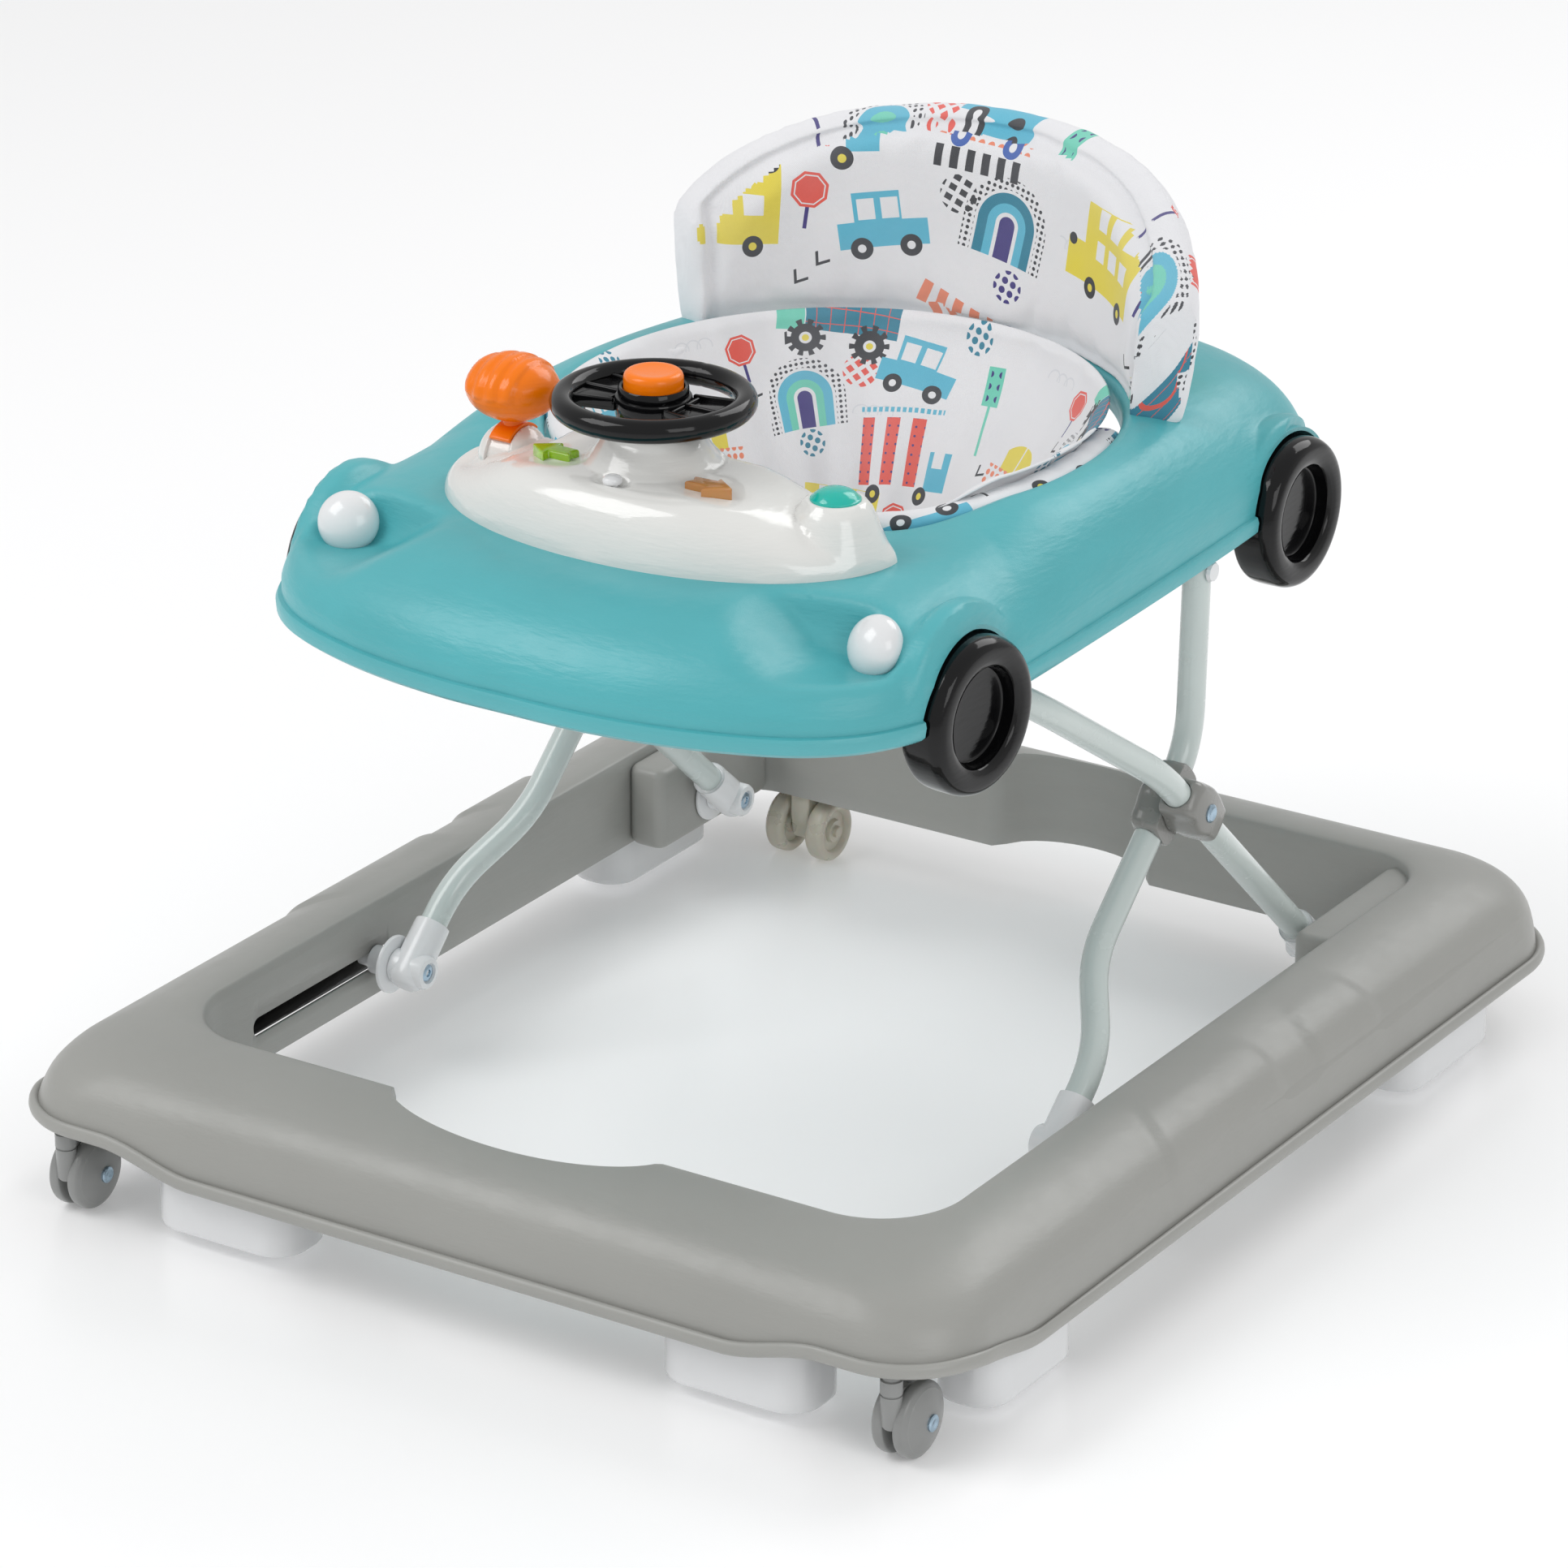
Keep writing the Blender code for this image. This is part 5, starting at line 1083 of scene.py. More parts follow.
def build_tray():
    """Car-shaped tray: smooth skin with fenders, wheel wells, lamp dishes and a rolled rim."""
    count = 420
    steps = 46
    rows = []
    for i, outer in enumerate(tray_reaches(count)):
        angle = 2 * math.pi * i / count
        width = outer - opening_reach(angle)
        run = min(width, ROUNDING)
        way = heading(angle)

        def spot(inward, height):
            return Vector((0, SEAT_Y, 0)) + way * (outer - inward) + Vector((0, 0, height))

        lip = deck_height(angle, width, width)
        row = [spot(0.0024, RIM_Z), spot(-0.0004, RIM_Z), spot(-0.0018, RIM_Z + 0.0012),
               spot(-0.002, RIM_Z + 0.005), spot(-0.0014, RIM_Z + 0.0064), spot(0.001, RIM_Z + 0.0072)]
        for step in range(steps + 1):
            inward = 0.0016 + (width - 0.0046) * (step / steps) ** 1.5
            point = spot(inward, max(deck_height(angle, min(inward, run), width), RIM_Z + 0.0078))
            point.z = with_fenders(point.x, point.y, point.z)
            row.append(with_lamp_dish(point))
        row += [spot(width - 0.001, lip - 0.0006), spot(width, lip - 0.0025), spot(width, lip - 0.014)]
        rows.append(row)
    tray = loft("tray_body", rows, "tray", outward=False, closed=False, wrap=True)
    apply_modifier(tray, "SOLIDIFY", thickness=0.0024, offset=-1.0)
    if tray.data.polygons[0].normal.z > 0:
        tray.data.flip_normals()
    parts = [tray]
    for side, sign in SIDES:
        for end, y in WHEEL_Y.items():
            face, axis = wheel_face(sign, end)
            tool = turned("well_tool", face - axis * (WHEEL_WIDTH + 0.001), axis,
                          ((0.0, WELL_RADIUS), (0.06, WELL_RADIUS)), "tray", 96)
            cut(tray, tool)
            parts += wheel_well(sign, end, y)
    for part in parts:
        part.data.shade_smooth()
        part.data.set_sharp_from_angle(angle=math.radians(42))
    item = join(parts, "tray_moulding")
    place(item, "tray", "tray_plastic", "tray_shell")


def wheel_face(sign, end):
    """Middle of a car wheel's outer face, and the way that it looks: the front wheels look a little ahead."""
    toe = WHEEL_TOE[end]
    face = Vector((sign * WHEEL_FACE_X[end], WHEEL_Y[end], WHEEL_Z))
    return face, Vector((sign * math.cos(toe), -math.sin(toe), 0))


def wheel_well(sign, end, y):
    """Inside plate of a wheel well and the arched lining over the wheel."""
    inner_x = WHEEL_FACE_X[end] - WHEEL_WIDTH - 0.001
    edge = FENDER_EDGE_X[end] - 0.0006
    skin_radius = WELL_RADIUS + 0.0022
    rows = []
    corners = ((inner_x, WELL_RADIUS), (edge, WELL_RADIUS), (edge, skin_radius), (inner_x, skin_radius))
    for x, radius in corners:
        rows.append([(sign * x, a, b) for a, b in arc(y, WHEEL_Z, radius, 2, 178, 32)])
    lining = loft("well_lining_part", rows, "tray", closed=False, wrap=True)
    outline = arc(y, WHEEL_Z, WELL_RADIUS + 0.002, 2, 178, 32)
    outline += [(y - 0.016, WHEEL_Z - 0.01), (y + 0.016, WHEEL_Z - 0.01)]
    plate = prism("well_plate_part", outline, "X", (sign * (inner_x - 0.003), sign * inner_x), "tray")
    face = Vector((sign * edge, y, WHEEL_Z))
    spin = Matrix.Rotation(-sign * WHEEL_TOE[end], 4, "Z")
    for piece in (lining, plate):
        piece.data.transform(Matrix.Translation(face) @ spin @ Matrix.Translation(-face))
    return [lining, plate]


def build_lamps():
    """White bulging lenses set in the dishes."""
    profile = [(LAMP_BULGE * a, LAMP_RADIUS * b) for a, b in arc(0, 0, 1, 180, 0, 32)[1:-1]]
    for side, sign in SIDES:
        item = turned("lamp_ball_" + side, (sign * LAMP[0], LAMP[1], LAMP[2]), lamp_direction(sign), profile,
                      "white", 64)
        place(item, "tray", "white_plastic", "lamp_" + side)


def build_car_wheels():
    """Glossy black wheels with a rounded tyre and a deep dished face."""
    w, r = WHEEL_WIDTH, WHEEL_RADIUS
    tyre = ((0.0002, r - 0.007), (0.0, r - 0.006), (0.0008, r - 0.0032), (0.0035, r - 0.0008), (0.008, r),
            (w - 0.009, r), (w - 0.005, r - 0.0007), (w - 0.0018, r - 0.0026), (w - 0.0004, r - 0.005),
            (w, r - 0.0078), (w - 0.0003, r - 0.0115), (w - 0.0014, r - 0.0145))
    dish = ((w - 0.003, r - 0.0158), (w - 0.0085, r - 0.0168), (w - 0.0105, r - 0.0185), (w - 0.0112, 0.014),
            (w - 0.0114, 0.004))
    profile = [(p.x, p.y) for p in curve_through([(a, b, 0) for a, b in tyre], 5)]
    profile += [(p.x, p.y) for p in curve_through([(a, b, 0) for a, b in dish], 5)]
    for side, sign in SIDES:
        for end in WHEEL_Y:
            name = f"{end}_{side}"
            face, axis = wheel_face(sign, end)
            item = turned("tyre_" + name, face - axis * w, axis, profile, "black", 112, sharp=60)
            place(item, "tray", "black_plastic", "car_wheel_" + name)


# ---------------------------------------------------------------- console

def console_rim(angle, share):
    """Point of the console's outline, drawn in towards its middle by a share."""
    cos, sin = math.cos(angle), math.sin(angle)
    reach = CONSOLE_REACH[0] if sin < 0 else CONSOLE_REACH[1]
    shape = 0.94 if sin < 0 else 0.5
    x = math.copysign(abs(cos) ** shape, cos) * CONSOLE_HALF
    y = CONSOLE_Y + math.copysign(abs(sin), sin) * reach
    middle_y = CONSOLE_Y - 0.029
    return x * (1 - share), middle_y + (y - middle_y) * (1 - share)


def console_surface(x, y, share):
    """Height of the console's skin: rounded rim, lower ends, boss, pedestal and the buttons' dips."""
    drop = 1 - 0.42 * smooth_step((abs(x) - 0.045) / 0.07)
    rise = (1 - (1 - min(1.0, share / 0.42)) ** 2.6) ** (1 / 2.2)
    height = DECK_Z + 0.0008 + CONSOLE_HEIGHT * drop * rise + 0.0012 * share
    boss = math.hypot(x - STEER[0], y - STEER[1])
    flare = 0.4538 - 0.0165 * smooth_step((boss - 0.0225) / 0.0165)
    height = max(height, flare - 1.2 * max(0.0, boss - 0.037))
    dome = math.hypot(x - DOME[0], y - DOME[1])
    flare = 0.4335 - 0.004 * smooth_step((dome - 0.0155) / 0.004) - 2.5 * max(0.0, dome - 0.0195)
    height = blend_up(height, flare, 0.0016)
    seat = math.hypot(x - LEVER[0], y - LEVER[1])
    height -= 0.0035 * bell(seat - 0.0235, 0.005)
    for sign in (-1, 1):
        arrow = math.hypot((x - sign * ARROW[0]) / 1.35, y - ARROW[1])
        height -= 0.0014 * smooth_step(1.6 - arrow / 0.0125)
    slot = math.hypot(max(0.0, abs(x - SWITCH[0]) - 0.006), y - SWITCH[1])
    height -= 0.0022 * smooth_step(1.8 - slot / 0.003)
    return height


def build_console():
    """Glossy white console."""
    count, steps = 260, 66
    rows = []
    for i in range(count):
        angle = 2 * math.pi * i / count
        row = []
        for step in range(steps + 1):
            share = 0.985 * (step / steps) ** 1.35
            x, y = console_rim(angle, share)
            row.append((x, y, console_surface(x, y, share)))
        rows.append(row)
    bm = bmesh.new()
    made = skin(bm, rows, closed=False, wrap=True)
    bm.faces.new([row[-1] for row in made])
    base = [bm.verts.new((row[0].co.x, row[0].co.y, DECK_Z - 0.0005)) for row in made]
    for i in range(count):
        j = (i + 1) % count
        bm.faces.new((base[i], base[j], made[j][0], made[i][0]))
    bm.faces.new(base)
    shell = mesh_piece("console_skin", bm, "console", 40)
    item = join([shell] + lever_housing(), "console_moulding")
    place(item, "tray", "console_plastic", "console_shell")


def lever_housing():
    """Half dome with the groove that the lever's strip runs in."""
    centre = Vector(LEVER)
    radius = LEVER_HOUSING
    top = 90 - math.degrees(0.05)
    profile = [(b, a) for a, b in arc(0, 0, radius, -math.degrees(0.3), top, 14)]
    dome = turned("housing_part", centre, (0, 0, 1), profile, "console", 56)
    groove = turned("groove_tool", centre - Vector((0.0071, 0, 0)), (1, 0, 0), ((0.0, 0.02), (0.0142, 0.02)),
                    "console", 56)
    cut(dome, groove)
    core = turned("core_part", centre - Vector((0.008, 0, 0)), (1, 0, 0), ((0.0, 0.016), (0.016, 0.016)),
                  "console", 56)
    return [dome, core]


def arrow_outline(sign):
    """Curved arrow that points away from the steering wheel, as (x, y)."""
    tail, neck, tip = -0.013, 0.001, 0.0142
    narrow, wide = 0.005, 0.01
    shape = ((tail, -narrow), (tail + 0.0025, 0.0), (tail, narrow), (neck, narrow + 0.0006),
             (neck - 0.0004, wide), (tip, 0.0), (neck - 0.0004, -wide), (neck, -narrow + 0.0006))
    return [(sign * (ARROW[0] + along), ARROW[1] + across) for along, across in shape]


def build_buttons():
    """Clear arrow buttons, the dome button and the slide switch."""
    for side, sign in SIDES:
        colour = "green" if sign < 0 else "amber"
        item = bevelled_prism("arrow_cap_" + side, arrow_outline(sign), "Z", (0.425, 0.4404), 0.0012, colour)
        place(item, "arrow_" + side, colour + "_clear", "arrow_button_" + side)
    profile = ((0.4195, 0.013), (0.4205, 0.0137), (0.4328, 0.0137), (0.4348, 0.0128), (0.4375, 0.0098),
               (0.4392, 0.006), (0.4398, 0.002))
    dome = turned("dome_cap", (DOME[0], DOME[1], 0), (0, 0, 1), profile, "teal", 64, 4)
    place(dome, "dome", "teal_clear", "dome_button")
    profile = ((0.429, 0.003), (0.436, 0.0032), (0.4368, 0.005), (0.4386, 0.0054), (0.4403, 0.0044),
               (0.4412, 0.0018))
    knob = turned("switch_cap", (SWITCH[0], SWITCH[1], 0), (0, 0, 1), profile, "white", 36, 3)
    place(knob, "switch", "white_plastic", "slide_switch")


def build_steering():
    """Glossy steering wheel: round rim, two panelled spokes, hub cup and shaft; and the horn button."""
    centre = Vector(STEER)
    rows = []
    for i in range(144):
        angle = 2 * math.pi * i / 144
        way = heading(angle)
        seam = 0.00022 * (bell(angle - math.pi * 1.5, 0.012) + bell(angle - math.pi * 0.5, 0.012))
        rows.append(circle(centre + way * STEER_RADIUS, way, Vector((0, 0, 1)), STEER_TUBE - seam, 32))
    parts = [loft("rim_part", rows, "black", 60, wrap=True)]
    hub = ((-0.016, 0.0135), (-0.0155, 0.015), (-0.0085, 0.0172), (-0.008, 0.0196), (-0.007, 0.0204),
           (0.0025, 0.0206), (0.0032, 0.0202), (0.0034, 0.019), (0.0078, 0.0188), (0.0088, 0.018),
           (0.0084, 0.0168), (-0.003, 0.0166), (-0.004, 0.01))
    parts.append(turned("hub_part", centre, (0, 0, 1), hub, "black", 72))
    shaft = ((-0.02, 0.013), (-0.019, 0.0205), (-0.015, 0.0215), (-0.012, 0.015))
    parts.append(turned("shaft_part", centre, (0, 0, 1), shaft, "black", 48))
    for turn in (0.0, math.pi):
        parts += spoke(centre, turn)
    item = join(parts, "steering_rim")
    place(item, "steering", "black_plastic", "steering_wheel")
    horn = ((0.0004, 0.0158), (0.011, 0.016), (0.0145, 0.0157), (0.0164, 0.0143), (0.017, 0.012),
            (0.0166, 0.008), (0.0164, 0.003))
    button = turned("horn_cap", centre, (0, 0, 1), horn, "orange", 72, 4)
    place(button, "horn", "orange_plastic", "horn_button")


def spoke(centre, turn):
    """Spoke plate with raised edges and a sunk panel."""
    spin = Matrix.Rotation(turn, 4, "Z")
    plates = []
    for near, far, wide_near, wide_far, low, high in ((0.015, 0.0475, 0.015, 0.022, -0.0045, 0.0006),
                                                      (0.017, 0.046, 0.0016, 0.0016, 0.0, 0.0024),
                                                      (0.019, 0.021, 0.0125, 0.013, 0.0, 0.002)):
        outline = ((near, -wide_near), (far, -wide_far), (far, wide_far), (near, wide_near))
        plate = bevelled_prism("spoke_part", outline, "Z", (low, high), 0.0009, "black")
        plate.data.transform(Matrix.Translation(centre) @ spin)
        plates.append(plate)
    for side in (-1, 1):
        corners = ((0.016, 0.013), (0.0475, 0.0195), (0.0475, 0.0222), (0.016, 0.0155))
        edge = [(x, side * y) for x, y in corners]
        bar = bevelled_prism("spoke_edge_part", edge[::side], "Z", (-0.003, 0.0026), 0.0009, "black")
        bar.data.transform(Matrix.Translation(centre) @ spin)
        plates.append(bar)
    return plates


def build_lever():
    """Egg-shaped orange knob with raised ribs and a parting line, on the strip over the housing."""
    centre = Vector(LEVER)
    section = arc(centre.y, centre.z, LEVER_HOUSING + 0.0002, 136, 44, 24)
    section += arc(centre.y, centre.z, 0.0164, 44, 136, 24)
    sides = (centre.x - 0.0066, centre.x + 0.0066)
    strip = bevelled_prism("strip_part", section, "X", sides, 0.0006, "orange")
    neck = turned("neck_part", centre, (0, 0, 1), ((0.018, 0.006), (0.0205, 0.0054), (0.028, 0.0054)),
                  "orange", 36)
    rings, count = 56, 88
    rows = []
    for i in range(1, rings):
        tilt = math.pi * i / rings
        row = []
        for k in range(count):
            angle = 2 * math.pi * k / count
            flat = heading(angle) * math.sin(tilt)
            way = flat - Vector((0, 0, math.cos(tilt)))
            shape = Vector([part * half for part, half in zip(way, KNOB_HALF)]) + way * rib_height(way)
            row.append(centre + Vector((0, 0, KNOB_RISE)) + shape)
        rows.append(row)
    knob = loft("knob_part", rows, "orange", 60, caps=True)
    item = join([strip, neck, knob], "shift_knob")
    place(item, "lever", "orange_plastic", "shift_lever")


def rib_height(way):
    """Raised grip bars over the knob's upper half, and the groove where its halves meet."""
    groove = -0.0005 * bell(way.z + 0.3, 0.022)
    if way.z < -0.12:
        return groove
    spacing = 0.34
    turns = (way.x + 0.78) / spacing
    if not 0 <= turns < 4:
        return groove
    across = abs(turns % 1 - 0.5)
    return groove + 0.0011 * smooth_step((0.36 - across) / 0.14) * smooth_step((way.z + 0.12) / 0.16)


# ---------------------------------------------------------------- seat

def cushion_top(angle):
    """Height of the arched cushion at an angle from straight behind."""
    spread = min(1.0, abs(angle) / math.radians(68))
    power = 2.2
    return CUSHION_TOP - 0.115 * (1 - (1 - spread ** power) ** (1 / power))


def seat_point(radius, angle, height):
    """Point round the seat's centre, at an angle from straight behind."""
    return Vector((radius * math.sin(angle), SEAT_Y + radius * math.cos(angle), height))


def outward_from_seat(angle):
    """Level unit vector away from the seat's centre, at an angle from straight behind."""
    return Vector((math.sin(angle), math.cos(angle), 0))


def wrinkle(point, scale, seed):
    """Smooth noise from -1 to 1."""
    return noise.noise(Vector(point) * scale + Vector((seed, seed * 1.7, seed * 0.3)))


def puff(item, voxel, pressure, cap, steps=20):
    """Inflate a closed piece as sewn cloth: remesh, pressure, limited travel, then one subdivision."""
    apply_modifier(item, "REMESH", mode="VOXEL", voxel_size=voxel)
    rest = [vertex.co.copy() for vertex in item.data.vertices]
    cloth = item.modifiers.new("cloth", "CLOTH")
    cloth.settings.use_pressure = True
    cloth.settings.uniform_pressure_force = pressure
    cloth.settings.effector_weights.gravity = 0.0
    cloth.settings.quality = 6
    cloth.settings.tension_stiffness = 18
    cloth.settings.compression_stiffness = 12
    cloth.settings.bending_stiffness = 0.6
    cloth.point_cache.frame_start = 1
    cloth.point_cache.frame_end = steps
    scene = bpy.context.scene
    for step in range(1, steps + 1):
        scene.frame_set(step)
    evaluated = item.evaluated_get(bpy.context.evaluated_depsgraph_get())
    moved = [vertex.co.copy() for vertex in evaluated.data.vertices]
    item.modifiers.clear()
    scene.frame_set(1)
    for vertex, start, end in zip(item.data.vertices, rest, moved):
        travel = end - start
        if travel.length > cap:
            travel *= cap / travel.length
        vertex.co = start + travel
    apply_modifier(item, "SMOOTH", factor=0.5, iterations=3)
    apply_modifier(item, "SUBSURF", levels=1)
    item.data.shade_smooth()


def cushion_lean(height):
    """How far the cushion leans back at a height."""
    return CUSHION_LEAN * (height - CUSHION_LOW) / (CUSHION_TOP - CUSHION_LOW)


def map_cloth(item, flatten):
    """Flat map of the cloth, in metres, from a rule for each face's centre, normal and corner."""
    layer = item.data.uv_layers.new(name="cloth")
    for face in item.data.polygons:
        centre, normal = face.center.copy(), face.normal.copy()
        for corner in face.loop_indices:
            vertex = item.data.vertices[item.data.loops[corner].vertex_index].co
            layer.data[corner].uv = flatten(centre, normal, vertex)


def polar(point):
    """Angle from straight behind, radius and height of a point round the seat."""
    y = point.y - SEAT_Y
    return math.atan2(point.x, y), math.hypot(point.x, y), point.z


def flatten_cushion(centre, normal, point):
    """Inner panel, band and back panel are cut separately, so the print steps at their seams."""
    angle, radius, height = polar(point)
    mid_angle, mid_radius, mid_height = polar(centre)
    facing = normal.dot(outward_from_seat(mid_angle))
    edge = cushion_top(mid_angle)
    inner_face = CUSHION_INNER + cushion_lean(mid_height) + 0.009
    if mid_radius < inner_face and facing < -0.15 and mid_height < edge - 0.004:
        return (0.205 + angle * 0.158, height - 0.412)
    if facing > 0.55:
        return (0.06 + angle * 0.19, height - 0.3)
    return (0.1 + angle * 0.185, 0.13 + (radius - CUSHION_INNER) - (height - edge) * 0.8)


def build_cushion():
    """Padded arch: crowned band, inset inner panel, seam between them, soft lower edge."""
    steps = 60
    sections = []
    for step in range(steps + 1):
        share = 2 * step / steps - 1
        angle = CUSHION_END * share * 0.985
        top = cushion_top(angle) - 0.003
        profile = []
        for across, up in ((0.98, 0.0), (1.0, 0.25), (1.0, 0.7), (0.93, 0.93), (0.75, 1.0), (0.45, 1.0),
                           (0.2, 0.965), (0.06, 0.86), (0.1, 0.5), (0.12, 0.12), (0.16, 0.0), (0.55, -0.01)):
            height = CUSHION_LOW + (top - CUSHION_LOW) * up
            radius = CUSHION_INNER + 0.002 + (CUSHION_OUTER - CUSHION_INNER - 0.004) * across
            profile.append((radius + cushion_lean(height), height))
        sections.append([seat_point(radius, angle, height) for radius, height in profile])
    item = loft("cushion_cover", sections, "cloth", 180, caps=True)
    puff(item, 0.0042, 3.2, 0.0065)
    sew_cushion(item)
    map_cloth(item, flatten_cushion)
    place(item, "tray", "print_fabric", "seat_cushion", "seat_board")


def sew_cushion(item):
    """Pull the seam between band and inner panel in, and crease the cloth around it."""
    for vertex in item.data.vertices:
        angle, radius, height = polar(vertex.co)
        top = cushion_top(angle)
        inward = radius - (CUSHION_INNER + cushion_lean(height))
        along = min(top - height, (CUSHION_END - abs(angle)) * 0.16)
        outward = outward_from_seat(angle)
        if inward < 0.018:
            seam = bell(along - 0.0135, 0.0034) * smooth_step((0.016 - inward) / 0.008)
            vertex.co += outward * 0.0062 * seam
            inset = smooth_step((along - 0.012) / 0.006) * smooth_step((0.012 - inward) / 0.006)
            vertex.co += outward * 0.0045 * inset
        pucker = 0.0007 * wrinkle(vertex.co, 75.0, 3.0) * bell(along - 0.015, 0.012)
        soft = 0.001 * wrinkle(vertex.co, 26.0, 8.0)
        vertex.co += outward * (pucker + soft)
        if height < CUSHION_LOW + 0.004 and inward < 0.02:
            vertex.co.z += 0.0022 * wrinkle(vertex.co, 22.0, 5.0)


def flatten_roll(centre, normal, point):
    """Length round the opening, and distance over the roll."""
    angle, radius, height = polar(point)
    return (angle * 0.165 + 0.03, 0.03 + (radius - 0.15) - (height - 0.415))


def build_roll():
    """Padded roll on the tray's edge, round the front of the opening."""
    start = math.radians(25.5)
    steps = 120
    loops = []
    for step in range(steps + 1):
        angle = start - (math.pi + 2 * start) * step / steps
        front = front_share(angle)
        radius = opening_reach(angle) - 0.01 - 0.005 * front
        half_width = 0.0105 - 0.0023 * front
        rest = deck_height(angle, 1.0, 1.0) - 0.012 + 0.004 * front
        loop = []
        for i in range(18):
            turn = 2 * math.pi * i / 18
            reach = radius + half_width * math.cos(turn) * (1 + 0.1 * math.sin(turn))
            height = rest + 0.0072 + 0.0071 * math.sin(turn)
            loop.append((reach * math.cos(angle), SEAT_Y + reach * math.sin(angle), height))
        loops.append(loop)
    item = loft("roll_cover", loops, "cloth", 180, caps=True)
    puff(item, 0.004, 2.0, 0.002)
    for vertex in item.data.vertices:
        angle, radius, height = polar(vertex.co)
        fold = wrinkle((angle * 9.0, height * 30.0, 0.0), 1.6, 2.0)
        vertex.co.z += 0.001 * fold * smooth_step((height - 0.4) / 0.008)
        vertex.co += outward_from_seat(angle) * 0.0012 * wrinkle(vertex.co, 34.0, 4.0)
    map_cloth(item, flatten_roll)
    place(item, "tray", "print_fabric", "seat_roll")


def sling_top(angle):
    """Height of the seat cloth's upper edge, which lies on the tray's lip."""
    return deck_height(angle, 1.0, 1.0) + 0.0085 * (1 - front_share(angle))


def sling_point(angle, depth):
    """Point of the seat's cloth: depth 0 is its top edge and 1 its lowest point."""
    rim = opening_reach(angle) - 0.0095 - 0.005 * front_share(angle)
    fall = math.sin(depth * math.pi / 2)
    top = sling_top(angle)
    height = top - (top - SLING_BOTTOM) * (1 - math.cos(depth * math.pi / 2)) ** 0.8
    radius = rim * (1 - 0.52 * fall ** 2.4) * (1 if depth < 0.98 else 0.2)
    across = radius * math.cos(angle) * (1 - 0.1 * fall)
    return Vector((across, SEAT_Y + 0.012 * fall + radius * math.sin(angle), height))


def build_sling():
    """Seat cloth hung in the opening, with folds from its edge and a hole for each leg."""
    count, steps = 180, 40
    rows = []
    for i in range(count):
        angle = 2 * math.pi * i / count
        way = heading(angle)
        row = []
        for step in range(steps + 1):
            depth = step / steps * 0.97
            point = sling_point(angle, depth)
            fold = 0.0042 * wrinkle((math.cos(angle) * 3.2, math.sin(angle) * 3.2, depth * 0.9), 1.5, 6.0)
            fold += 0.0018 * wrinkle((math.cos(angle) * 7, math.sin(angle) * 7, depth * 1.5), 1.4, 9.0)
            fold += 0.0011 * wrinkle(point, 40.0, 1.0)
            row.append(point - way * (0.004 + fold) * smooth_step(depth / 0.1))
        rows.append(row)
    bm = bmesh.new()
    made = skin(bm, rows, closed=False, wrap=True)
    bm.faces.new([row[-1] for row in made])
    cloth = mesh_piece("sling_cloth", bm, "cloth", 180, outward=False)
    remove_leg_holes(cloth)
    map_cloth(cloth, flatten_sling)
    apply_modifier(cloth, "SOLIDIFY", thickness=0.0012, offset=0.0)
    cloth.data.shade_smooth()
    place(cloth, "tray", "print_fabric", "seat_sling")


def remove_leg_holes(cloth):
    """Open the two leg holes in front."""
    bm = bmesh.new()
    bm.from_mesh(cloth.data)
    doomed = []
    for face in bm.faces:
        middle = face.calc_center_median()
        for sign in (-1, 1):
            start = Vector((sign * 0.06, 0.0, 0.29))
            way = (Vector((sign * 0.115, -0.16, 0.315)) - start).normalized()
            away = middle - start
            if away.dot(way) > 0 and (away - way * away.dot(way)).length < LEG_HOLE_RADIUS:
                doomed.append(face)
    bmesh.ops.delete(bm, geom=list(set(doomed)), context="FACES")
    bm.to_mesh(cloth.data)
    bm.free()


def flatten_sling(centre, normal, point):
    """Angle round the opening, and drop below its edge, with the turn under the seat taken up."""
    angle, radius, height = polar(point)
    drop = sling_top(math.pi / 2 - angle) - height + 0.6 * max(0.0, 0.15 - radius)
    return (0.13 + angle * (0.158 - 0.25 * max(0.0, 0.15 - radius)), 0.21 - drop)


# ---------------------------------------------------------------- carried-over nodes

def finish_cad_nodes():
    """Materials for the CAD nodes that stay as they are."""
    for name in ("height_adjuster", "tray_bracket_left", "tray_bracket_right"):
        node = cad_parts[name]
        node.data.materials.clear()
        node.data.materials.append(MATERIALS["white"])


# ---------------------------------------------------------------- studio

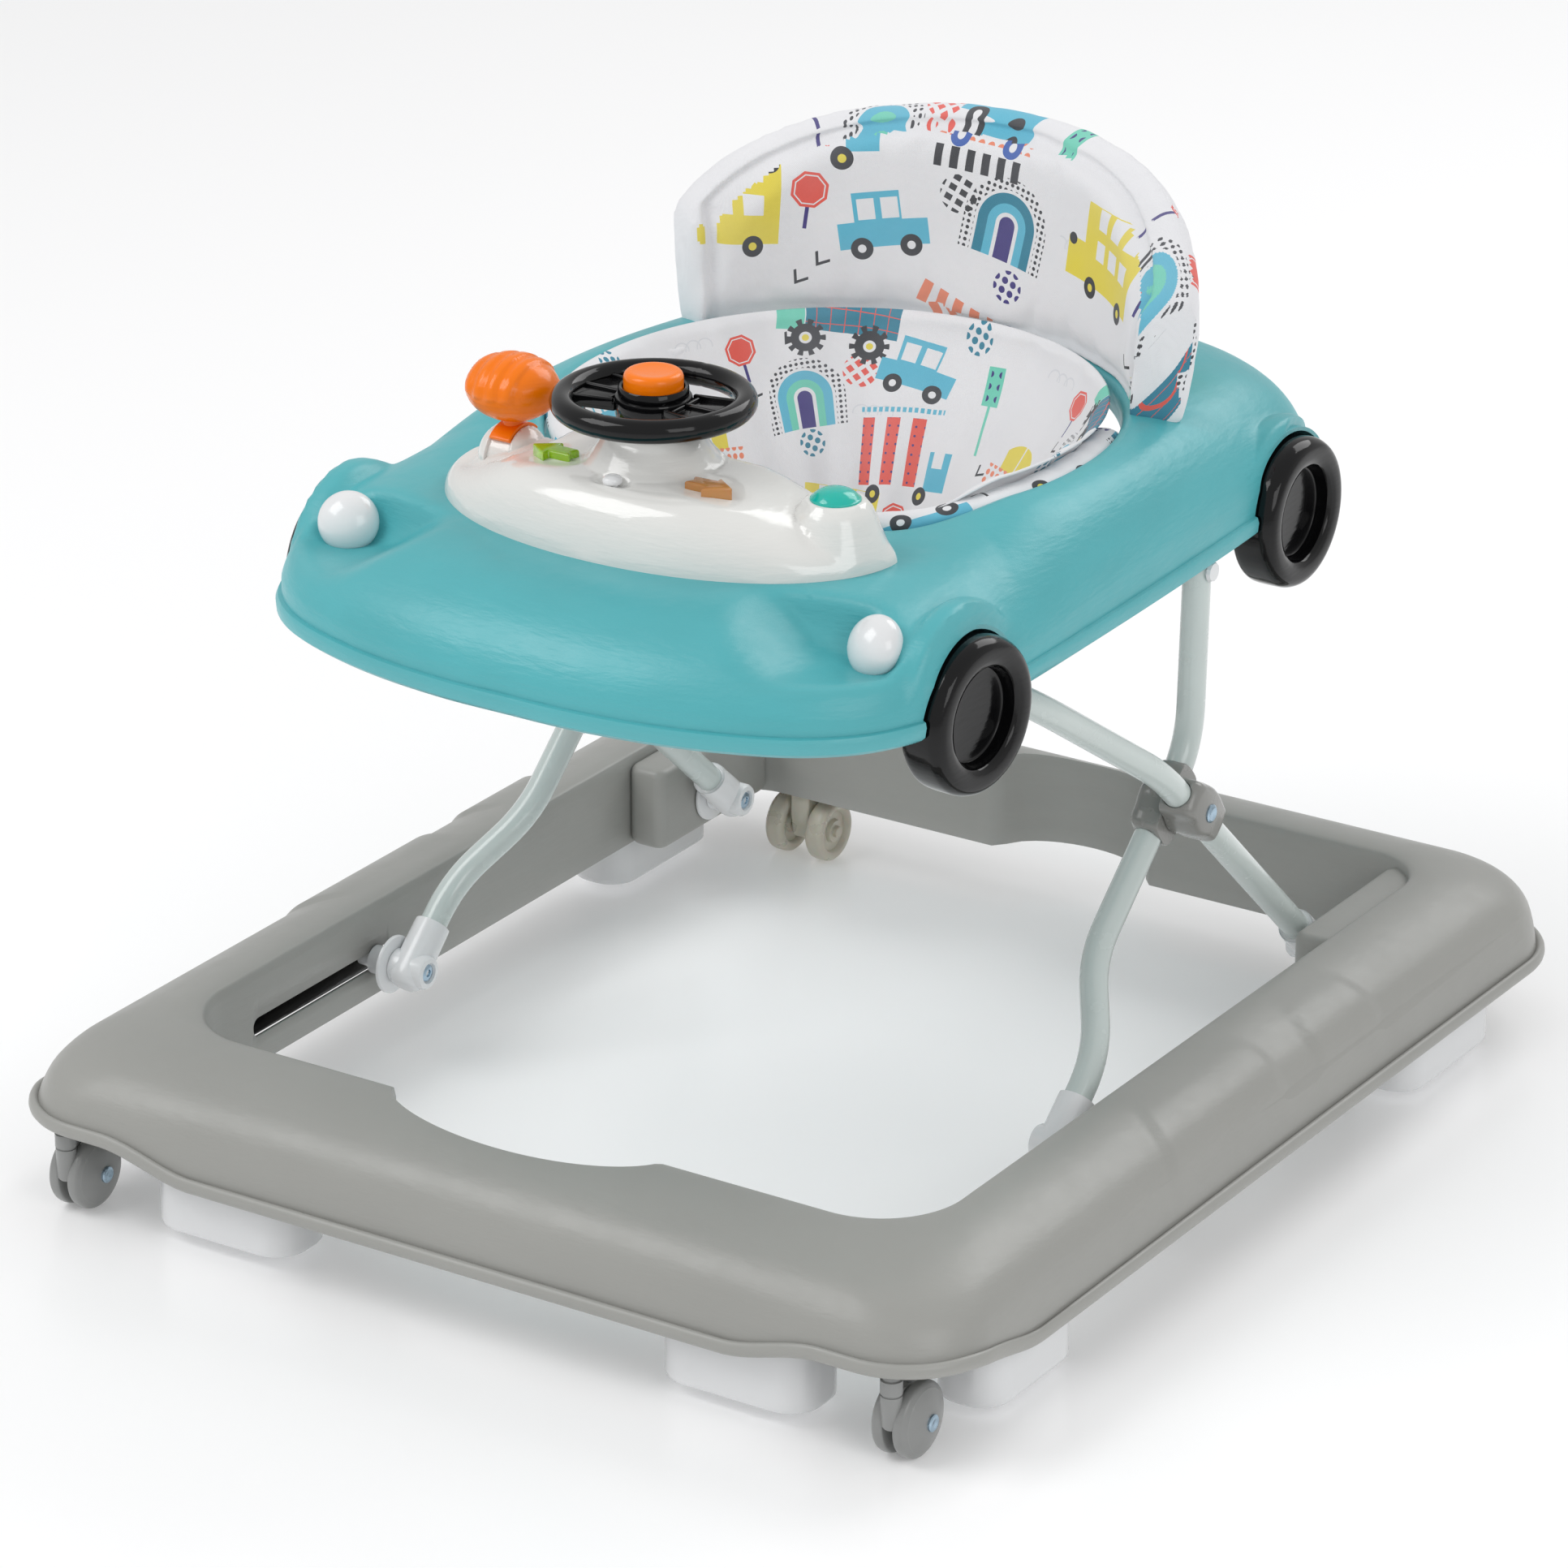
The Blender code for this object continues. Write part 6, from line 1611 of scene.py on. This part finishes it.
LAMPS = (("key", (-1.3, -1.5, 2.3), 1.5, 26), ("fill", (2.2, -1.2, 1.5), 1.3, 11),
         ("back", (0.5, 2.2, 2.2), 1.6, 22))


def build_studio():
    """Pale floor, soft lamps and a bright surround."""
    bpy.ops.mesh.primitive_plane_add(size=14.0, location=(0, 0, 0))
    floor = bpy.context.object
    floor.name = "studio_floor"
    graph = Graph("studio_floor_look")
    rough = graph.spread(graph.noise(3.0), 0.2, 0.26)
    graph.set(Base_Color=(0.9, 0.9, 0.905, 1.0), Roughness=rough, Specular_IOR_Level=0.35)
    graph.set(Emission_Color=(1.0, 1.0, 1.0, 1.0), Emission_Strength=0.17)
    floor.data.materials.append(graph.material)
    world = bpy.data.worlds.new("studio_world")
    world.use_nodes = True
    surround = world.node_tree.nodes["Background"]
    surround.inputs["Color"].default_value = (1.0, 1.0, 1.0, 1.0)
    surround.inputs["Strength"].default_value = 0.62
    bpy.context.scene.world = world
    for name, spot, size, power in LAMPS:
        area_lamp(name, spot, size, power)
    bpy.context.scene.view_settings.view_transform = "Standard"


def area_lamp(name, spot, size, power):
    """Square soft lamp that faces the walker."""
    data = bpy.data.lights.new(name, "AREA")
    data.size = size
    data.energy = power
    lamp = bpy.data.objects.new(name, data)
    lamp.location = spot
    lamp.rotation_euler = (Vector((0, 0, 0.25)) - Vector(spot)).to_track_quat("-Z", "Y").to_euler()
    bpy.context.scene.collection.objects.link(lamp)


def build_camera():
    """Camera of the main view."""
    data = bpy.data.cameras.new("view")
    data.lens = LENS
    data.sensor_width = SENSOR
    camera = bpy.data.objects.new("view", data)
    columns = zip(CAMERA_RIGHT, CAMERA_UP, CAMERA_BACK, CAMERA_SPOT)
    camera.matrix_world = Matrix((*columns, (0, 0, 0, 1)))
    bpy.context.scene.collection.objects.link(camera)
    bpy.context.scene.camera = camera


for build in (build_base, build_feet, build_front_castors, build_rear_castors, build_legs, build_tray,
              build_lamps, build_car_wheels, build_console, build_buttons, build_steering, build_lever,
              build_cushion, build_roll, build_sling, finish_cad_nodes, build_studio, build_camera):
    build()
